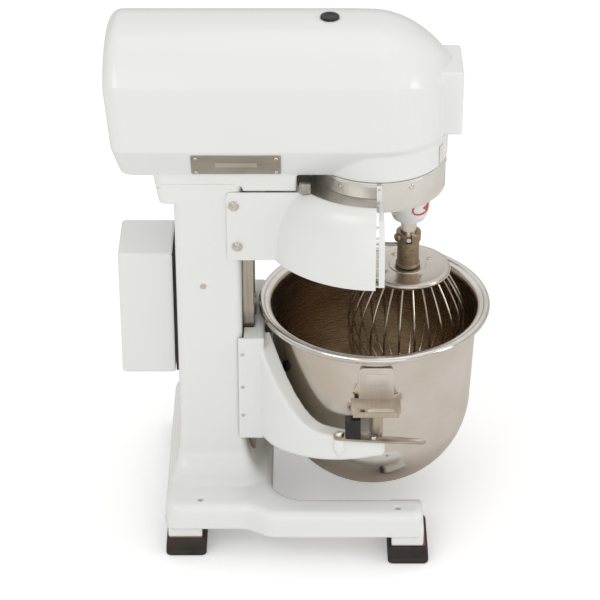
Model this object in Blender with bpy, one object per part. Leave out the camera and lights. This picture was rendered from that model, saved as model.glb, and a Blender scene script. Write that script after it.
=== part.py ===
"""Floor-standing planetary mixer of the 20 litre class, as separate pieces on real joint axes.

Metres, +Z up. +X points from the column towards the bowl's front, and -Y is the operator's left.
The origin is on the floor, at the centre of the machine's length and width. The bowl is shown lowered.
"""

import math

import bmesh
import bpy
from mathutils import Matrix, Vector

# Driving dimensions
GAP = 0.0003            # running clearance between neighbouring pieces
BOWL_X = 0.104          # bowl and planetary axis
LIFT_TRAVEL = 0.10

LEG_BOTTOM = 0.047
LEG_TOP = 0.087
REAR_HALF = 0.180
FRONT_HALF = 0.200
FOOT_HEIGHT = 0.0290

COLUMN_HALF = 0.080
COLUMN_FRONT = -0.0885
COLUMN_REAR = -0.182
COLUMN_TOP = 0.5622
COLUMN_WALL = 0.010

HEAD_HALF = 0.105
HEAD_FLOOR = 0.580
HEAD_CHAMFER_TOP = 0.631
HEAD_CREASE = 0.728
HEAD_TOP = 0.786
HEAD_WALL = 0.006
HEAD_REAR = ((0.580, -0.2550), (0.631, -0.266), (0.728, -0.274))
HEAD_REAR_CORNER = (0.0215, 0.020, 0.034)   # rounding of the rear edge: along X, sideways, at the top
NOSE_RADIUS = 0.100
NOSE_COLLAR_RADIUS = 0.0985
DRIVE_Z = 0.676         # motor and output shaft axis
HUB_FRONT = 0.2205
HUB_HALF = 0.048

RING_RADIUS = 0.098
RING_BOTTOM = 0.533

GEAR_MODULE = 0.003
MOTOR_TEETH = 8
LAY_GEAR_TEETH = 24
LAY_PINION_TEETH = 10
OUTPUT_TEETH = 22
LAY_Y = GEAR_MODULE * (MOTOR_TEETH + LAY_GEAR_TEETH) / 2
BEVEL_MODULE = 0.0028
BEVEL_PINION_TEETH = 10
BEVEL_GEAR_TEETH = 20
PLANET_MODULE = 0.004
PLANET_TEETH = 12
RING_TEETH = 36
PLANET_OFFSET = PLANET_MODULE * (RING_TEETH - PLANET_TEETH) / 2

RACK_MODULE = 0.004
LIFT_TEETH = 16
LIFT_RADIUS = RACK_MODULE * LIFT_TEETH / 2
LIFT_X = -0.116
LIFT_Z = 0.310

BOWL_RIM = 0.338
BOWL_RIM_RADIUS = 0.170
BOWL_TOP_RADIUS = 0.1513
BOWL_BALL_RADIUS = 0.1455
BOWL_BALL_Z = 0.183
BOWL_WALL = 0.0018

WHISK_LOOPS = 12
WHISK_RADIUS = 0.086
WHISK_DISC_RADIUS = 0.0625
WIRE_RADIUS = 0.0015

GUARD_TOP = 0.557
GUARD_BOTTOM = 0.447
GUARD_TOP_RADIUS = 0.127
GUARD_BOTTOM_RADIUS = 0.165
GUARD_SHEET = 0.0018
GUARD_PLATE_Y = 0.0825

YOKE_INNER = 0.163
YOKE_OUTER = 0.188
ARM_TOP = 0.211
LATCH_X = 0.0515
LATCH_Y = 0.179

TAU = 2 * math.pi


# Scene, materials and mesh helpers

def clear_scene():
    for obj in list(bpy.data.objects):
        bpy.data.objects.remove(obj)


def make_material(name, colour, roughness, metallic=0.0):
    material = bpy.data.materials.new(name)
    material.use_nodes = True
    shader = material.node_tree.nodes["Principled BSDF"]
    shader.inputs["Base Color"].default_value = (*colour, 1.0)
    shader.inputs["Roughness"].default_value = roughness
    shader.inputs["Metallic"].default_value = metallic
    return material


def add_axis(name, location, parent=None):
    axis = bpy.data.objects.new(name, None)
    bpy.context.scene.collection.objects.link(axis)
    axis.location = location
    axis.parent = parent
    return axis


def add_piece(name, mesh, material, parent=None, location=(0, 0, 0), rotation=(0, 0, 0)):
    """A named object from a bmesh, with flats kept sharp and round stretches smooth."""
    bmesh.ops.recalc_face_normals(mesh, faces=mesh.faces)
    data = bpy.data.meshes.new(name)
    mesh.to_mesh(data)
    mesh.free()
    data.shade_smooth()
    data.set_sharp_from_angle(angle=math.radians(32))
    data.materials.append(material)
    obj = bpy.data.objects.new(name, data)
    bpy.context.scene.collection.objects.link(obj)
    obj.location = location
    obj.rotation_euler = rotation
    obj.parent = parent
    return obj


def combine(target, operation, mesh, name):
    """Adds a helper object to target with a Boolean, in target's own space."""
    helper = add_piece(name, mesh, target.data.materials[0], target.parent)
    helper.location = target.location
    helper.rotation_euler = target.rotation_euler
    helper.hide_render = True
    helper.display_type = "WIRE"
    modifier = target.modifiers.new(name, "BOOLEAN")
    modifier.operation = operation
    modifier.object = helper


def join(target, mesh, name):
    combine(target, "UNION", mesh, name)


def cut(target, mesh, name):
    combine(target, "DIFFERENCE", mesh, name)


def loft(rings, closed=False, across=False):
    """Skins rings of equal length. Open ends are capped flat, or from side to side with across."""
    mesh = bmesh.new()
    rows = [[mesh.verts.new(point) for point in ring] for ring in rings]
    pairs = list(zip(rows, rows[1:]))
    if closed:
        pairs.append((rows[-1], rows[0]))
    count = len(rows[0])
    for lower, upper in pairs:
        for i in range(count):
            j = (i + 1) % count
            mesh.faces.new((lower[i], lower[j], upper[j], upper[i]))
    if closed:
        return mesh
    for row in (rows[0], rows[-1]):
        if not across:
            mesh.faces.new(row)
            continue
        for i in range(count // 2):
            corners = (row[i], row[i + 1], row[count - 2 - i], row[count - 1 - i])
            mesh.faces.new(dict.fromkeys(corners))
    return mesh


def prism(outline, low, high, axis="Z"):
    """Extrudes a 2-D outline: (x, y) along Z, (y, z) along X, or (x, z) along Y."""
    place = {
        "Z": lambda a, b, t: (a, b, t),
        "X": lambda a, b, t: (t, a, b),
        "Y": lambda a, b, t: (a, t, b),
    }[axis]
    return loft([[place(a, b, t) for a, b in outline] for t in (low, high)])


def box(low, high, bevel=0.0, segments=2):
    outline = [(low[0], low[1]), (high[0], low[1]), (high[0], high[1]), (low[0], high[1])]
    mesh = prism(outline, low[2], high[2])
    if bevel:
        bmesh.ops.bevel(mesh, geom=mesh.edges[:], offset=bevel, segments=segments, profile=0.5,
                        affect="EDGES")
    return mesh


def rounded_outline(corners, radii, steps=3):
    """A closed outline whose corners are replaced by arcs of the given radii."""
    points = []
    count = len(corners)
    for i, corner in enumerate(corners):
        here = Vector(corner)
        back = (Vector(corners[i - 1]) - here).normalized()
        ahead = (Vector(corners[(i + 1) % count]) - here).normalized()
        radius = radii[i]
        if radius == 0:
            points.append(tuple(here))
            continue
        half = back.angle(ahead) / 2
        reach = radius / math.tan(half)
        centre = here + (back + ahead).normalized() * radius / math.sin(half)
        start = here + back * reach - centre
        finish = here + ahead * reach - centre
        turn = start.angle_signed(finish)
        for k in range(steps + 1):
            arm = start.copy()
            arm.rotate(Matrix.Rotation(-turn * k / steps, 2))
            points.append(tuple(centre + arm))
    return points


def inset_outline(outline, distance):
    """Moves a counter-clockwise outline inwards by distance, square to its edges."""
    moved = []
    count = len(outline)
    for i in range(count):
        here = Vector(outline[i])
        before = (here - Vector(outline[i - 1])).normalized()
        after = (Vector(outline[(i + 1) % count]) - here).normalized()
        normal_a = Vector((-before.y, before.x))
        normal_b = Vector((-after.y, after.x))
        middle = (normal_a + normal_b).normalized()
        moved.append(tuple(here + middle * distance / max(middle.dot(normal_a), 0.5)))
    return moved


def turned(profile, steps, closed_profile=False, start=0.0, sweep=TAU):
    """Turns (radius, z) points about Z. A profile that isn't closed begins and ends on the axis."""
    mesh = bmesh.new()
    full = abs(sweep - TAU) < 1e-9
    columns = steps if full else steps + 1
    poles = {}
    grid = []
    for c in range(columns):
        angle = start + sweep * c / steps
        column = []
        for i, (radius, z) in enumerate(profile):
            if radius == 0:
                if i not in poles:
                    poles[i] = mesh.verts.new((0, 0, z))
                column.append(poles[i])
            else:
                column.append(mesh.verts.new((radius * math.cos(angle), radius * math.sin(angle), z)))
        grid.append(column)
    spans = [(i, i + 1) for i in range(len(profile) - 1)]
    if closed_profile:
        spans.append((len(profile) - 1, 0))
    turns = [(c, (c + 1) % columns) for c in range(columns if full else columns - 1)]
    for c, d in turns:
        for i, j in spans:
            corners = []
            for vert in (grid[c][i], grid[d][i], grid[d][j], grid[c][j]):
                if vert not in corners:
                    corners.append(vert)
            if len(corners) > 2:
                mesh.faces.new(corners)
    if not full:
        mesh.faces.new(grid[0][::-1])
        mesh.faces.new(grid[-1])
    return mesh


def moved(mesh, offset=(0, 0, 0), axis="Z"):
    """Lays a piece turned about Z along the given axis, then shifts it."""
    lay = {
        "Z": Matrix.Identity(4),
        "X": Matrix.Rotation(math.pi / 2, 4, "Y"),
        "Y": Matrix.Rotation(-math.pi / 2, 4, "X"),
    }[axis]
    bmesh.ops.transform(mesh, matrix=Matrix.Translation(offset) @ lay, verts=mesh.verts)
    return mesh


def rod(radius, low, high, steps=16, offset=(0, 0, 0), axis="Z"):
    return moved(turned([(0, low), (radius, low), (radius, high), (0, high)], steps), offset, axis)


def sleeve(inner, outer, low, high, steps=24, offset=(0, 0, 0), axis="Z"):
    profile = [(outer, high), (outer, low), (inner, low), (inner, high)]
    return moved(turned(profile, steps, closed_profile=True), offset, axis)


def sweep(path, radius, sides, closed=False):
    """A round bar along a path of points, with its section kept square to the path."""
    points = [Vector(p) for p in path]
    count = len(points)
    rings = []
    side = None
    for i, point in enumerate(points):
        before = points[i - 1] if closed or i > 0 else point
        after = points[(i + 1) % count] if closed or i < count - 1 else point
        along = (after - before).normalized()
        if side is None:
            side = along.orthogonal().normalized()
        side = (side - along * side.dot(along)).normalized()
        up = along.cross(side)
        rings.append([
            point + radius * (math.cos(TAU * k / sides) * side + math.sin(TAU * k / sides) * up)
            for k in range(sides)
        ])
    return loft(rings, closed)


def teeth_outline(teeth, root, tip, phase=0.0, root_share=0.60, tip_share=0.20):
    """Straight-flanked teeth; root may be outside tip, for an internal gear."""
    pitch = TAU / teeth
    outline = []
    for i in range(teeth):
        for share, radius in ((-root_share, root), (-tip_share, tip), (tip_share, tip), (root_share, root)):
            angle = phase + (i + share / 2) * pitch
            outline.append((radius * math.cos(angle), radius * math.sin(angle)))
    return outline


def spur(module, teeth, phase, low, high):
    pitch_radius = module * teeth / 2
    outline = teeth_outline(teeth, pitch_radius - 1.2 * module, pitch_radius + 0.8 * module, phase)
    return prism(outline, low, high)


def bevel_gear(teeth, mate, module, phase, keep):
    """A bevel gear about Z with its cone's apex at the origin, and its big end below."""
    radius = module * teeth / 2
    height = module * mate / 2
    cone = math.atan2(radius, height)
    length = math.hypot(radius, height)
    tip = height * math.tan(cone + 0.8 * module / length)
    root = height * math.tan(cone - 1.2 * module / length)
    outline = teeth_outline(teeth, root, tip, phase)
    return loft([[(x * s, y * s, -height * s) for x, y in outline] for s in (1.0, keep)])


# Materials

clear_scene()
WHITE = make_material("white_enamel", (0.80, 0.81, 0.78), 0.28)
RUBBER = make_material("foot_rubber", (0.022, 0.018, 0.015), 0.75)
STAINLESS = make_material("polished_stainless", (0.62, 0.58, 0.53), 0.18, 1.0)
CHROME = make_material("chrome_ring", (0.70, 0.70, 0.71), 0.12, 1.0)
STEEL = make_material("machined_steel", (0.45, 0.43, 0.41), 0.35, 1.0)
BRONZED = make_material("bronzed_steel", (0.36, 0.28, 0.20), 0.35, 1.0)
BLACK = make_material("black_plastic", (0.02, 0.02, 0.02), 0.5)
COPPER = make_material("copper_winding", (0.55, 0.28, 0.14), 0.45, 1.0)
IRON = make_material("motor_iron", (0.20, 0.21, 0.23), 0.5, 0.8)
PLATE = make_material("plate_metal", (0.42, 0.38, 0.34), 0.4, 1.0)
GREEN = make_material("green_button", (0.03, 0.35, 0.10), 0.35)
RED = make_material("red_button", (0.55, 0.03, 0.03), 0.35)


# Pedestal: one casting with a U-shaped base, a hollow column and a neck flange

def base_outline():
    corners = [(-0.204, -REAR_HALF), (-0.083, -REAR_HALF), (-0.050, -FRONT_HALF), (0.177, -FRONT_HALF),
               (0.177, -0.150), (-0.045, -0.150)]
    radii = [0.022, 0.030, 0.030, 0.018, 0.018, 0.050]
    mirrored = [(x, -y) for x, y in reversed(corners)]
    return rounded_outline(corners + mirrored, radii + radii[::-1])


def column_ring(z, sideways, front, rear, radius=0.010):
    corners = [(rear, -sideways), (front, -sideways), (front, sideways), (rear, sideways)]
    return [(x, y, z) for x, y in rounded_outline(corners, [radius] * 4, 2)]


def flare(z, top, reach, power):
    """Widening of the column below top, growing to reach at the top of the legs."""
    share = min(max((top - z) / (top - LEG_TOP), 0.0), 1.0)
    return reach * (1 - math.sqrt(1 - share ** power))


def make_pedestal():
    outline = base_outline()
    levels = [(LEG_BOTTOM, 0.0), (0.074, 0.0035), (0.0845, 0.0080), (LEG_TOP, 0.0145)]
    rings = [[(x, y, z) for x, y in inset_outline(outline, inset)] for z, inset in levels]
    pedestal = add_piece("pedestal_casting", loft(rings), WHITE)
    heights = [0.060, 0.0885, 0.094, 0.104, 0.125, 0.150, 0.197, COLUMN_TOP - 0.012]
    sections = []
    for z in heights:
        sideways = COLUMN_HALF + flare(z, 0.125, 0.054, 2.0)
        front = COLUMN_FRONT + flare(z, 0.197, 0.033, 3.0)
        rear = COLUMN_REAR - flare(z, 0.197, 0.016, 3.0)
        sections.append(column_ring(z, sideways, front, rear, 0.010 + (sideways - COLUMN_HALF) * 0.4))
    join(pedestal, loft(sections), "column_solid")
    neck = [column_ring(0.5370, 0.0803, -0.0875, -0.2025), column_ring(COLUMN_TOP, 0.0803, -0.0865, -0.2070)]
    join(pedestal, loft(neck), "neck_solid")
    for side in (-1, 1):
        for low, high in (((-0.199, 0.101), (-0.149, 0.1745)), ((0.129, 0.118), (0.176, 0.196))):
            ys = sorted((side * low[1], side * high[1]))
            pad = box((low[0], ys[0], FOOT_HEIGHT + GAP), (high[0], ys[1], LEG_BOTTOM + 0.012))
            join(pedestal, pad, "foot_pad_solid")
        for x, y in ((-0.151, 0.158), (0.138, 0.179)):
            cut(pedestal, rod(0.004, 0.02, 0.12, 12, (x, side * y, 0)), "floor_bolt_cutter")
    inner_front = COLUMN_FRONT - COLUMN_WALL
    inner_rear = COLUMN_REAR + COLUMN_WALL
    inner_half = COLUMN_HALF - COLUMN_WALL
    cut(pedestal, box((inner_rear, -inner_half, 0.03), (inner_front, inner_half, 0.60)), "column_hollow")
    cut(pedestal, box((-0.0879, -0.0465, 0.0997), (-0.02, 0.0465, 0.215)), "rail_recess")
    cut(pedestal, box((inner_front - 0.01, -0.0215, 0.262), (-0.05, 0.0215, 0.358)), "rack_window")
    cut(pedestal, rod(0.0085, -0.0755, 0.12, 16, (LIFT_X, 0, LIFT_Z), "Y"), "lift_shaft_hole")
    cut(pedestal, box((-0.20, -0.012, 0.330), (-0.165, 0.012, 0.354)), "cable_window")
    return pedestal


def make_feet():
    """Moulded rubber boots under the four leg pads."""
    for name, x, y, size_x, size_y in (
        ("foot_rear_left", -0.173, -0.1375, 0.060, 0.085),
        ("foot_rear_right", -0.173, 0.1375, 0.060, 0.085),
        ("foot_front_left", 0.154, -0.1565, 0.060, 0.087),
        ("foot_front_right", 0.154, 0.1565, 0.060, 0.087),
    ):
        half_x = size_x / 2
        half_y = size_y / 2
        corners = [(-half_x, -half_y), (half_x, -half_y), (half_x, half_y), (-half_x, half_y)]
        outline = rounded_outline(corners, [0.008] * 4, 2)
        rings = [[(a, b, z) for a, b in inset_outline(outline, inset)]
                 for z, inset in ((0, 0), (FOOT_HEIGHT - 0.004, 0.0015), (FOOT_HEIGHT, 0.003))]
        add_piece(name, loft(rings), RUBBER, location=(x, y, 0))


# Head: a hollow casting with a domed rear, an arched top, a round nose and the attachment hub

def rear_x(z):
    for (z0, x0), (z1, x1) in zip(HEAD_REAR, HEAD_REAR[1:]):
        if z <= z1:
            return x0 + (x1 - x0) * (z - z0) / (z1 - z0)
    return HEAD_REAR[-1][1]


def head_section(half, top, bottom, crease):
    """Outline of the head from its lower left edge, over the arch, to its lower right edge."""
    left = [(-0.71 * half, bottom), (-half, HEAD_CHAMFER_TOP), (-half, crease)]
    arch = []
    for k in range(1, 8):
        share = -1 + k / 4
        arch.append((half * share, crease + (top - crease) * (1 - abs(share) ** 2.6)))
    return left + arch + [(-y, z) for y, z in reversed(left)]


def head_solid(wall):
    """The head's closed outer form, or with wall its hollow."""
    half = HEAD_HALF - wall
    bottom = HEAD_FLOOR + (wall and 0.010)
    along, sideways, upwards = HEAD_REAR_CORNER
    rings = []
    for degrees in (0, 32, 62, 90):
        angle = math.radians(degrees)
        pinch = 1 - math.sin(angle)
        section = head_section(half - sideways * pinch, HEAD_TOP - wall - upwards * pinch, bottom,
                               HEAD_CREASE - 0.35 * upwards * pinch)
        rings.append([(rear_x(z) + wall + along * (1 - math.cos(angle)), y, z) for y, z in section])
    for x in (-0.12, 0.070):
        rings.append([(x, y, z) for y, z in head_section(half, HEAD_TOP - wall, bottom, HEAD_CREASE)])
    for degrees in (0, 20, 38, 54, 68, 80):
        angle = math.radians(degrees)
        x = BOWL_X + (NOSE_RADIUS - wall) * math.sin(angle)
        drop = 0.040 * max((x - 0.085) / 0.1, 0.0) ** 2.2
        section = head_section(half * math.cos(angle), HEAD_TOP - wall - drop, bottom,
                               HEAD_CREASE - 0.35 * drop)
        rings.append([(x, y, z) for y, z in section])
    return loft(rings, across=True)


def make_head():
    head = add_piece("head_casting", head_solid(0), WHITE)
    join(head, rod(NOSE_COLLAR_RADIUS, HEAD_FLOOR - 0.0003, 0.700, 36, (BOWL_X, 0, 0)), "nose_collar_solid")
    hub = box((0.150, -HUB_HALF, 0.629), (HUB_FRONT, HUB_HALF, 0.7235), 0.003)
    join(head, hub, "hub_block_solid")
    flange = [column_ring(COLUMN_TOP + GAP, 0.0803, -0.0865, -0.2070),
              column_ring(0.597, 0.0700, -0.060, -0.2130)]
    join(head, loft(flange), "neck_flange_solid")
    skirt = [column_ring(GUARD_TOP + 0.0005, 0.0800, -0.0095, -0.0860, 0.003),
             column_ring(HEAD_FLOOR + 0.0030, 0.0755, -0.0095, -0.0857, 0.003)]
    join(head, loft(skirt), "front_skirt_solid")
    cut(head, head_solid(HEAD_WALL), "head_hollow")
    cut(head, box((-0.172, -0.060, 0.55), (-0.0985, 0.060, 0.60)), "neck_opening")
    cut(head, box((-0.0560, -0.0680, 0.55), (-0.0175, 0.0680, HEAD_FLOOR + 0.0004)), "skirt_hollow")
    cut(head, rod(0.016, 0.17, 0.23, 20, (0, 0, DRIVE_Z), "X"), "hub_bore")
    cut(head, rod(0.0115, 0.76, 0.80, 16, (0.036, 0, 0)), "oil_hole")
    cut(head, rod(0.0078, 0.08, 0.12, 12, (0.000, 0, 0.655), "Y"), "shift_hole")
    cut(head, rod(0.0306, 0.55, 0.60, 24, (BOWL_X, 0, 0)), "bearing_seat")
    return head


def make_head_fittings():
    plug = [(0, 0.770), (0.0105, 0.770), (0.0105, 0.7865), (0.013, 0.7865), (0.013, 0.7885), (0, 0.790)]
    add_piece("oil_plug", turned(plug, 16), BLACK, location=(0.036, 0, -0.0002))
    slope = math.atan2(HEAD_HALF * 0.29, HEAD_CHAMFER_TOP - HEAD_FLOOR)
    plate = box((-0.0625, -0.0006, -0.0235), (0.0625, 0.0006, 0.0235))
    middle = (HEAD_HALF * 0.855 + 0.0011) * -1
    add_piece("nameplate", plate, PLATE, location=(-0.0935, middle, 0.6050), rotation=(slope, 0, 0))
    collar = sleeve(0.0086, 0.0155, 0.190, 0.202, 20, axis="X")
    add_piece("hub_bearing", collar, STEEL, location=(0, 0, DRIVE_Z))


# Motor and gearbox inside the head

def make_motor():
    stator = sleeve(0.0400, 0.0640, -0.228, -0.132, 24, axis="X")
    add_piece("motor_stator", stator, IRON, location=(0, 0, DRIVE_Z))
    rear_plate = box((-0.1210, -0.066, 0.5903), (-0.1130, 0.066, 0.748))
    frame = add_piece("gearbox_frame", rear_plate, STEEL)
    join(frame, box((-0.0370, -0.066, 0.5903), (-0.0290, 0.066, 0.7480)), "front_plate_solid")
    for side in (-1, 1):
        ys = sorted((side * 0.052, side * 0.064))
        join(frame, box((-0.1150, ys[0], 0.5915), (-0.0350, ys[1], 0.6040)), "tie_bar_solid")
    cut(frame, rod(0.0153, -0.13, -0.01, 20, (0, 0, DRIVE_Z), "X"), "shaft_seat_cutter")
    cut(frame, rod(0.0105, -0.13, -0.01, 16, (0, LAY_Y, DRIVE_Z), "X"), "lay_seat_cutter")
    bearing = sleeve(0.0083, 0.0150, -0.1212, -0.1128, 20, axis="X")
    add_piece("motor_bearing", bearing, STEEL, location=(0, 0, DRIVE_Z))
    add_piece("output_bearing", sleeve(0.0083, 0.0150, -0.0372, -0.0288, 20, axis="X"), STEEL,
              location=(0, 0, DRIVE_Z))


def gear_along_x(teeth, low, high, phase):
    """A spur gear about X; its phase is the angle of one tooth from +Y towards +Z."""
    radius = GEAR_MODULE * teeth / 2
    outline = teeth_outline(teeth, radius - 1.2 * GEAR_MODULE, radius + 0.8 * GEAR_MODULE, phase)
    return prism(outline, low, high, "X")


def make_gear_train(motor_axis, lay_axis, output_axis):
    rotor = [(0, -0.240), (0.008, -0.240), (0.008, -0.226), (0.0393, -0.226), (0.0393, -0.134),
             (0.008, -0.134), (0.008, -0.090), (0, -0.090)]
    motor = add_piece("motor_rotor", moved(turned(rotor, 14), axis="X"), COPPER, motor_axis)
    join(motor, gear_along_x(MOTOR_TEETH, -0.1070, -0.0860, 0.0), "motor_pinion_solid")
    lay_pitch = TAU / LAY_GEAR_TEETH
    lay = add_piece("layshaft", rod(0.010, -0.1205, -0.0295, 16, axis="X"), STEEL, lay_axis)
    join(lay, gear_along_x(LAY_GEAR_TEETH, -0.1050, -0.0880, lay_pitch / 2), "lay_gear_solid")
    join(lay, gear_along_x(LAY_PINION_TEETH, -0.0720, -0.0480, math.pi), "lay_pinion_solid")
    outline = [(0, -0.0780), (0.008, -0.0780), (0.008, 0.0780), (0.0055, 0.0800), (0.0055, 0.1640),
               (0.008, 0.1660), (0.008, 0.2120), (0, 0.2120)]
    output = add_piece("output_shaft", moved(turned(outline, 16), axis="X"), STEEL, output_axis)
    output_pitch = TAU / OUTPUT_TEETH
    join(output, gear_along_x(OUTPUT_TEETH, -0.0700, -0.0500, output_pitch / 2), "output_gear_solid")
    phase = -math.pi / 2 + TAU / BEVEL_PINION_TEETH / 2
    pinion = bevel_gear(BEVEL_PINION_TEETH, BEVEL_GEAR_TEETH, BEVEL_MODULE, phase, 0.62)
    turn = Matrix(((0, 0, 1, BOWL_X), (1, 0, 0, 0), (0, 1, 0, 0), (0, 0, 0, 1)))
    bmesh.ops.transform(pinion, matrix=turn, verts=pinion.verts)
    join(output, pinion, "bevel_pinion_solid")
    cut(output, box((0.200, -0.0045, -0.0045), (0.23, 0.0045, 0.0045)), "drive_square_cutter")


def make_planetary(carrier_axis, agitator_axis):
    gear = bevel_gear(BEVEL_GEAR_TEETH, BEVEL_PINION_TEETH, BEVEL_MODULE, math.pi, 0.62)
    bmesh.ops.translate(gear, vec=(0, 0, DRIVE_Z), verts=gear.verts)
    bevel = add_piece("drive_bevel_gear", gear, STEEL, carrier_axis)
    join(bevel, rod(0.0190, 0.6400, 0.6630, 16), "bevel_hub_solid")
    cut(bevel, rod(0.0123, 0.63, 0.68, 16), "bevel_bore_cutter")
    profile = [(0, 0.6660), (0.0120, 0.6660), (0.0120, 0.5820), (0.0190, 0.5800), (0.0190, 0.5470),
               (0.0870, 0.5460), (0.0870, 0.5345), (0, 0.5345)]
    carrier = add_piece("planet_carrier", turned(profile, 30), WHITE, carrier_axis)
    boss = [(0, 0.5400), (0.0322, 0.5400), (0.0312, 0.5200), (0.0302, 0.5000), (0.0270, 0.4820),
            (0.0232, 0.4740), (0, 0.4740)]
    join(carrier, moved(turned(boss, 20), (PLANET_OFFSET, 0, 0)), "planet_boss_solid")
    cut(carrier, rod(0.0171, 0.46, 0.56, 20, (PLANET_OFFSET, 0, 0)), "planet_bore_cutter")
    bearing = sleeve(0.0118, 0.0167, 0.4760, 0.5420, 20)
    add_piece("agitator_bearing", bearing, BRONZED, carrier_axis, location=(PLANET_OFFSET, 0, 0))
    main = sleeve(0.0123, 0.0300, 0.5825, 0.5975, 24)
    add_piece("main_bearing", main, STEEL, location=(BOWL_X, 0, 0))
    ring_pitch = PLANET_MODULE * RING_TEETH / 2
    teeth = teeth_outline(RING_TEETH, ring_pitch + 1.2 * PLANET_MODULE, ring_pitch - 0.8 * PLANET_MODULE)
    ring = add_piece("internal_gear", rod(0.0870, 0.5500, 0.5755, 36), STEEL, location=(BOWL_X, 0, 0))
    cut(ring, prism(teeth, 0.54, 0.59), "ring_teeth_cutter")
    cover = sleeve(0.0878, RING_RADIUS, RING_BOTTOM, HEAD_FLOOR - 0.0007, 36)
    add_piece("planet_ring_cover", cover, CHROME, location=(BOWL_X, 0, 0))
    planet = spur(PLANET_MODULE, PLANET_TEETH, math.pi / PLANET_TEETH, 0.5520, 0.5720)
    shaft = [(0, 0.5745), (0.0115, 0.5745), (0.0115, 0.3985), (0.0105, 0.3970), (0, 0.3970)]
    agitator = add_piece("agitator_shaft", turned(shaft, 16), STEEL, agitator_axis)
    join(agitator, planet, "planet_pinion_solid")
    join(agitator, rod(0.0035, -0.0165, 0.0165, 8, (0, 0, 0.4425), "Y"), "drive_pin_solid")


# Whisk: bayonet sleeve, disc and nested wire loops

def whisk_path(angle, depth, steps=7):
    """One loop: down one side of the cage, under the axis and up the far side."""
    waist_z = 0.300
    side = []
    for k in range(3):
        share = 1 - k / 3
        side.append((WHISK_RADIUS - 0.036 * share ** 1.8, waist_z + 0.089 * share))
    for k in range(steps + 1):
        turn = math.pi / 2 * k / steps
        side.append((WHISK_RADIUS * math.cos(turn), waist_z - depth * math.sin(turn)))
    profile = side + [(-radius, z) for radius, z in side[-2::-1]]
    return [(radius * math.cos(angle), radius * math.sin(angle), z) for radius, z in profile]


def merged(meshes):
    """Several closed meshes in one bmesh."""
    whole = bmesh.new()
    for mesh in meshes:
        data = bpy.data.meshes.new("part")
        mesh.to_mesh(data)
        whole.from_mesh(data)
        mesh.free()
        bpy.data.meshes.remove(data)
    return whole


def make_whisk(agitator_axis):
    hub = [(0.0160, 0.4355), (0.0160, 0.4010), (0.0178, 0.3995), (0.0178, 0.3945), (0.0118, 0.3945),
           (0.0118, 0.4505), (0.0180, 0.4505), (0.0180, 0.4370)]
    collar = add_piece("whisk_sleeve", turned(hub, 16, closed_profile=True), BRONZED, agitator_axis)
    for side in (-1, 1):
        ys = sorted((side * 0.005, side * 0.03))
        cut(collar, box((-0.0045, ys[0], 0.4380), (0.0045, ys[1], 0.4700)), "bayonet_slot_cutter")
    rim = WHISK_DISC_RADIUS
    disc = [(0, 0.3942), (rim - 0.0035, 0.3942), (rim, 0.3910), (rim, 0.3875), (rim - 0.0035, 0.3845),
            (0, 0.3845)]
    cage = add_piece("whisk_cage", turned(disc, 28), STAINLESS, agitator_axis)
    loops = [sweep(whisk_path(math.pi * k / WHISK_LOOPS + 0.1, 0.140 - 0.0034 * k), WIRE_RADIUS, 3)
             for k in range(WHISK_LOOPS)]
    join(cage, merged(loops), "whisk_wires_solid")


# Bowl guard: fixed rear half with its side plates, and the wire half that swings round

def guard_radius(z):
    rise = min(max((z - GUARD_BOTTOM) / (GUARD_TOP - GUARD_BOTTOM), 0.0), 1.0)
    return GUARD_TOP_RADIUS + (GUARD_BOTTOM_RADIUS - GUARD_TOP_RADIUS) * math.sqrt(1 - rise * rise)


def make_fixed_guard():
    turns = [math.pi / 2 * k / 6 for k in range(7)]
    spread = GUARD_BOTTOM_RADIUS - GUARD_TOP_RADIUS
    height = GUARD_TOP - GUARD_BOTTOM
    outer = [(GUARD_TOP_RADIUS + spread * math.cos(t), GUARD_BOTTOM + height * math.sin(t)) for t in turns]
    inner = [(GUARD_TOP_RADIUS + (spread - GUARD_SHEET) * math.cos(t),
              GUARD_BOTTOM + (height - GUARD_SHEET) * math.sin(t)) for t in turns]
    profile = [(0.0988, 0.5550)] + outer[::-1] + inner + [(0.0988, 0.5532)]
    shell = turned(profile, 18, True, math.radians(91.5), math.radians(177))
    guard = add_piece("guard_shell", shell, WHITE, location=(BOWL_X, 0, 0))
    low, high = GUARD_BOTTOM + 0.0015, GUARD_TOP - 0.0002
    edge = []
    for k in range(8):
        z = low + (high - low) * math.sin(math.pi / 2 * k / 7)
        wall = guard_radius(z) - 0.0012
        edge.append((-math.sqrt(wall ** 2 - (GUARD_PLATE_Y - 0.0008) ** 2), z))
    back = -0.108 - BOWL_X
    outline = [(back, low)] + edge + [(back, high)]
    for side in (-1, 1):
        ys = sorted((side * (GUARD_PLATE_Y - 0.0017), side * GUARD_PLATE_Y))
        join(guard, prism(outline, ys[0], ys[1], "Y"), "guard_plate_solid")
        name = "left" if side < 0 else "right"
        for level, x, z in (("upper", -0.0978, 0.536), ("lower", -0.0936, 0.471)):
            head = [(0, 0.0040), (0.0040, 0.0034), (0.0078, 0.0007), (0.0078, 0), (0, 0)]
            add_piece(f"guard_screw_{level}_{name}", turned(head, 12), STEEL,
                      location=(x, side * (GUARD_PLATE_Y + GAP), z), rotation=(-side * math.pi / 2, 0, 0))
    add_piece("guard_hinge_block", box((-0.008, -0.005, 0), (0.008, 0.005, 0.0150), 0.0012), STEEL,
              location=(0.002, -0.0835, 0.5576))


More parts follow.
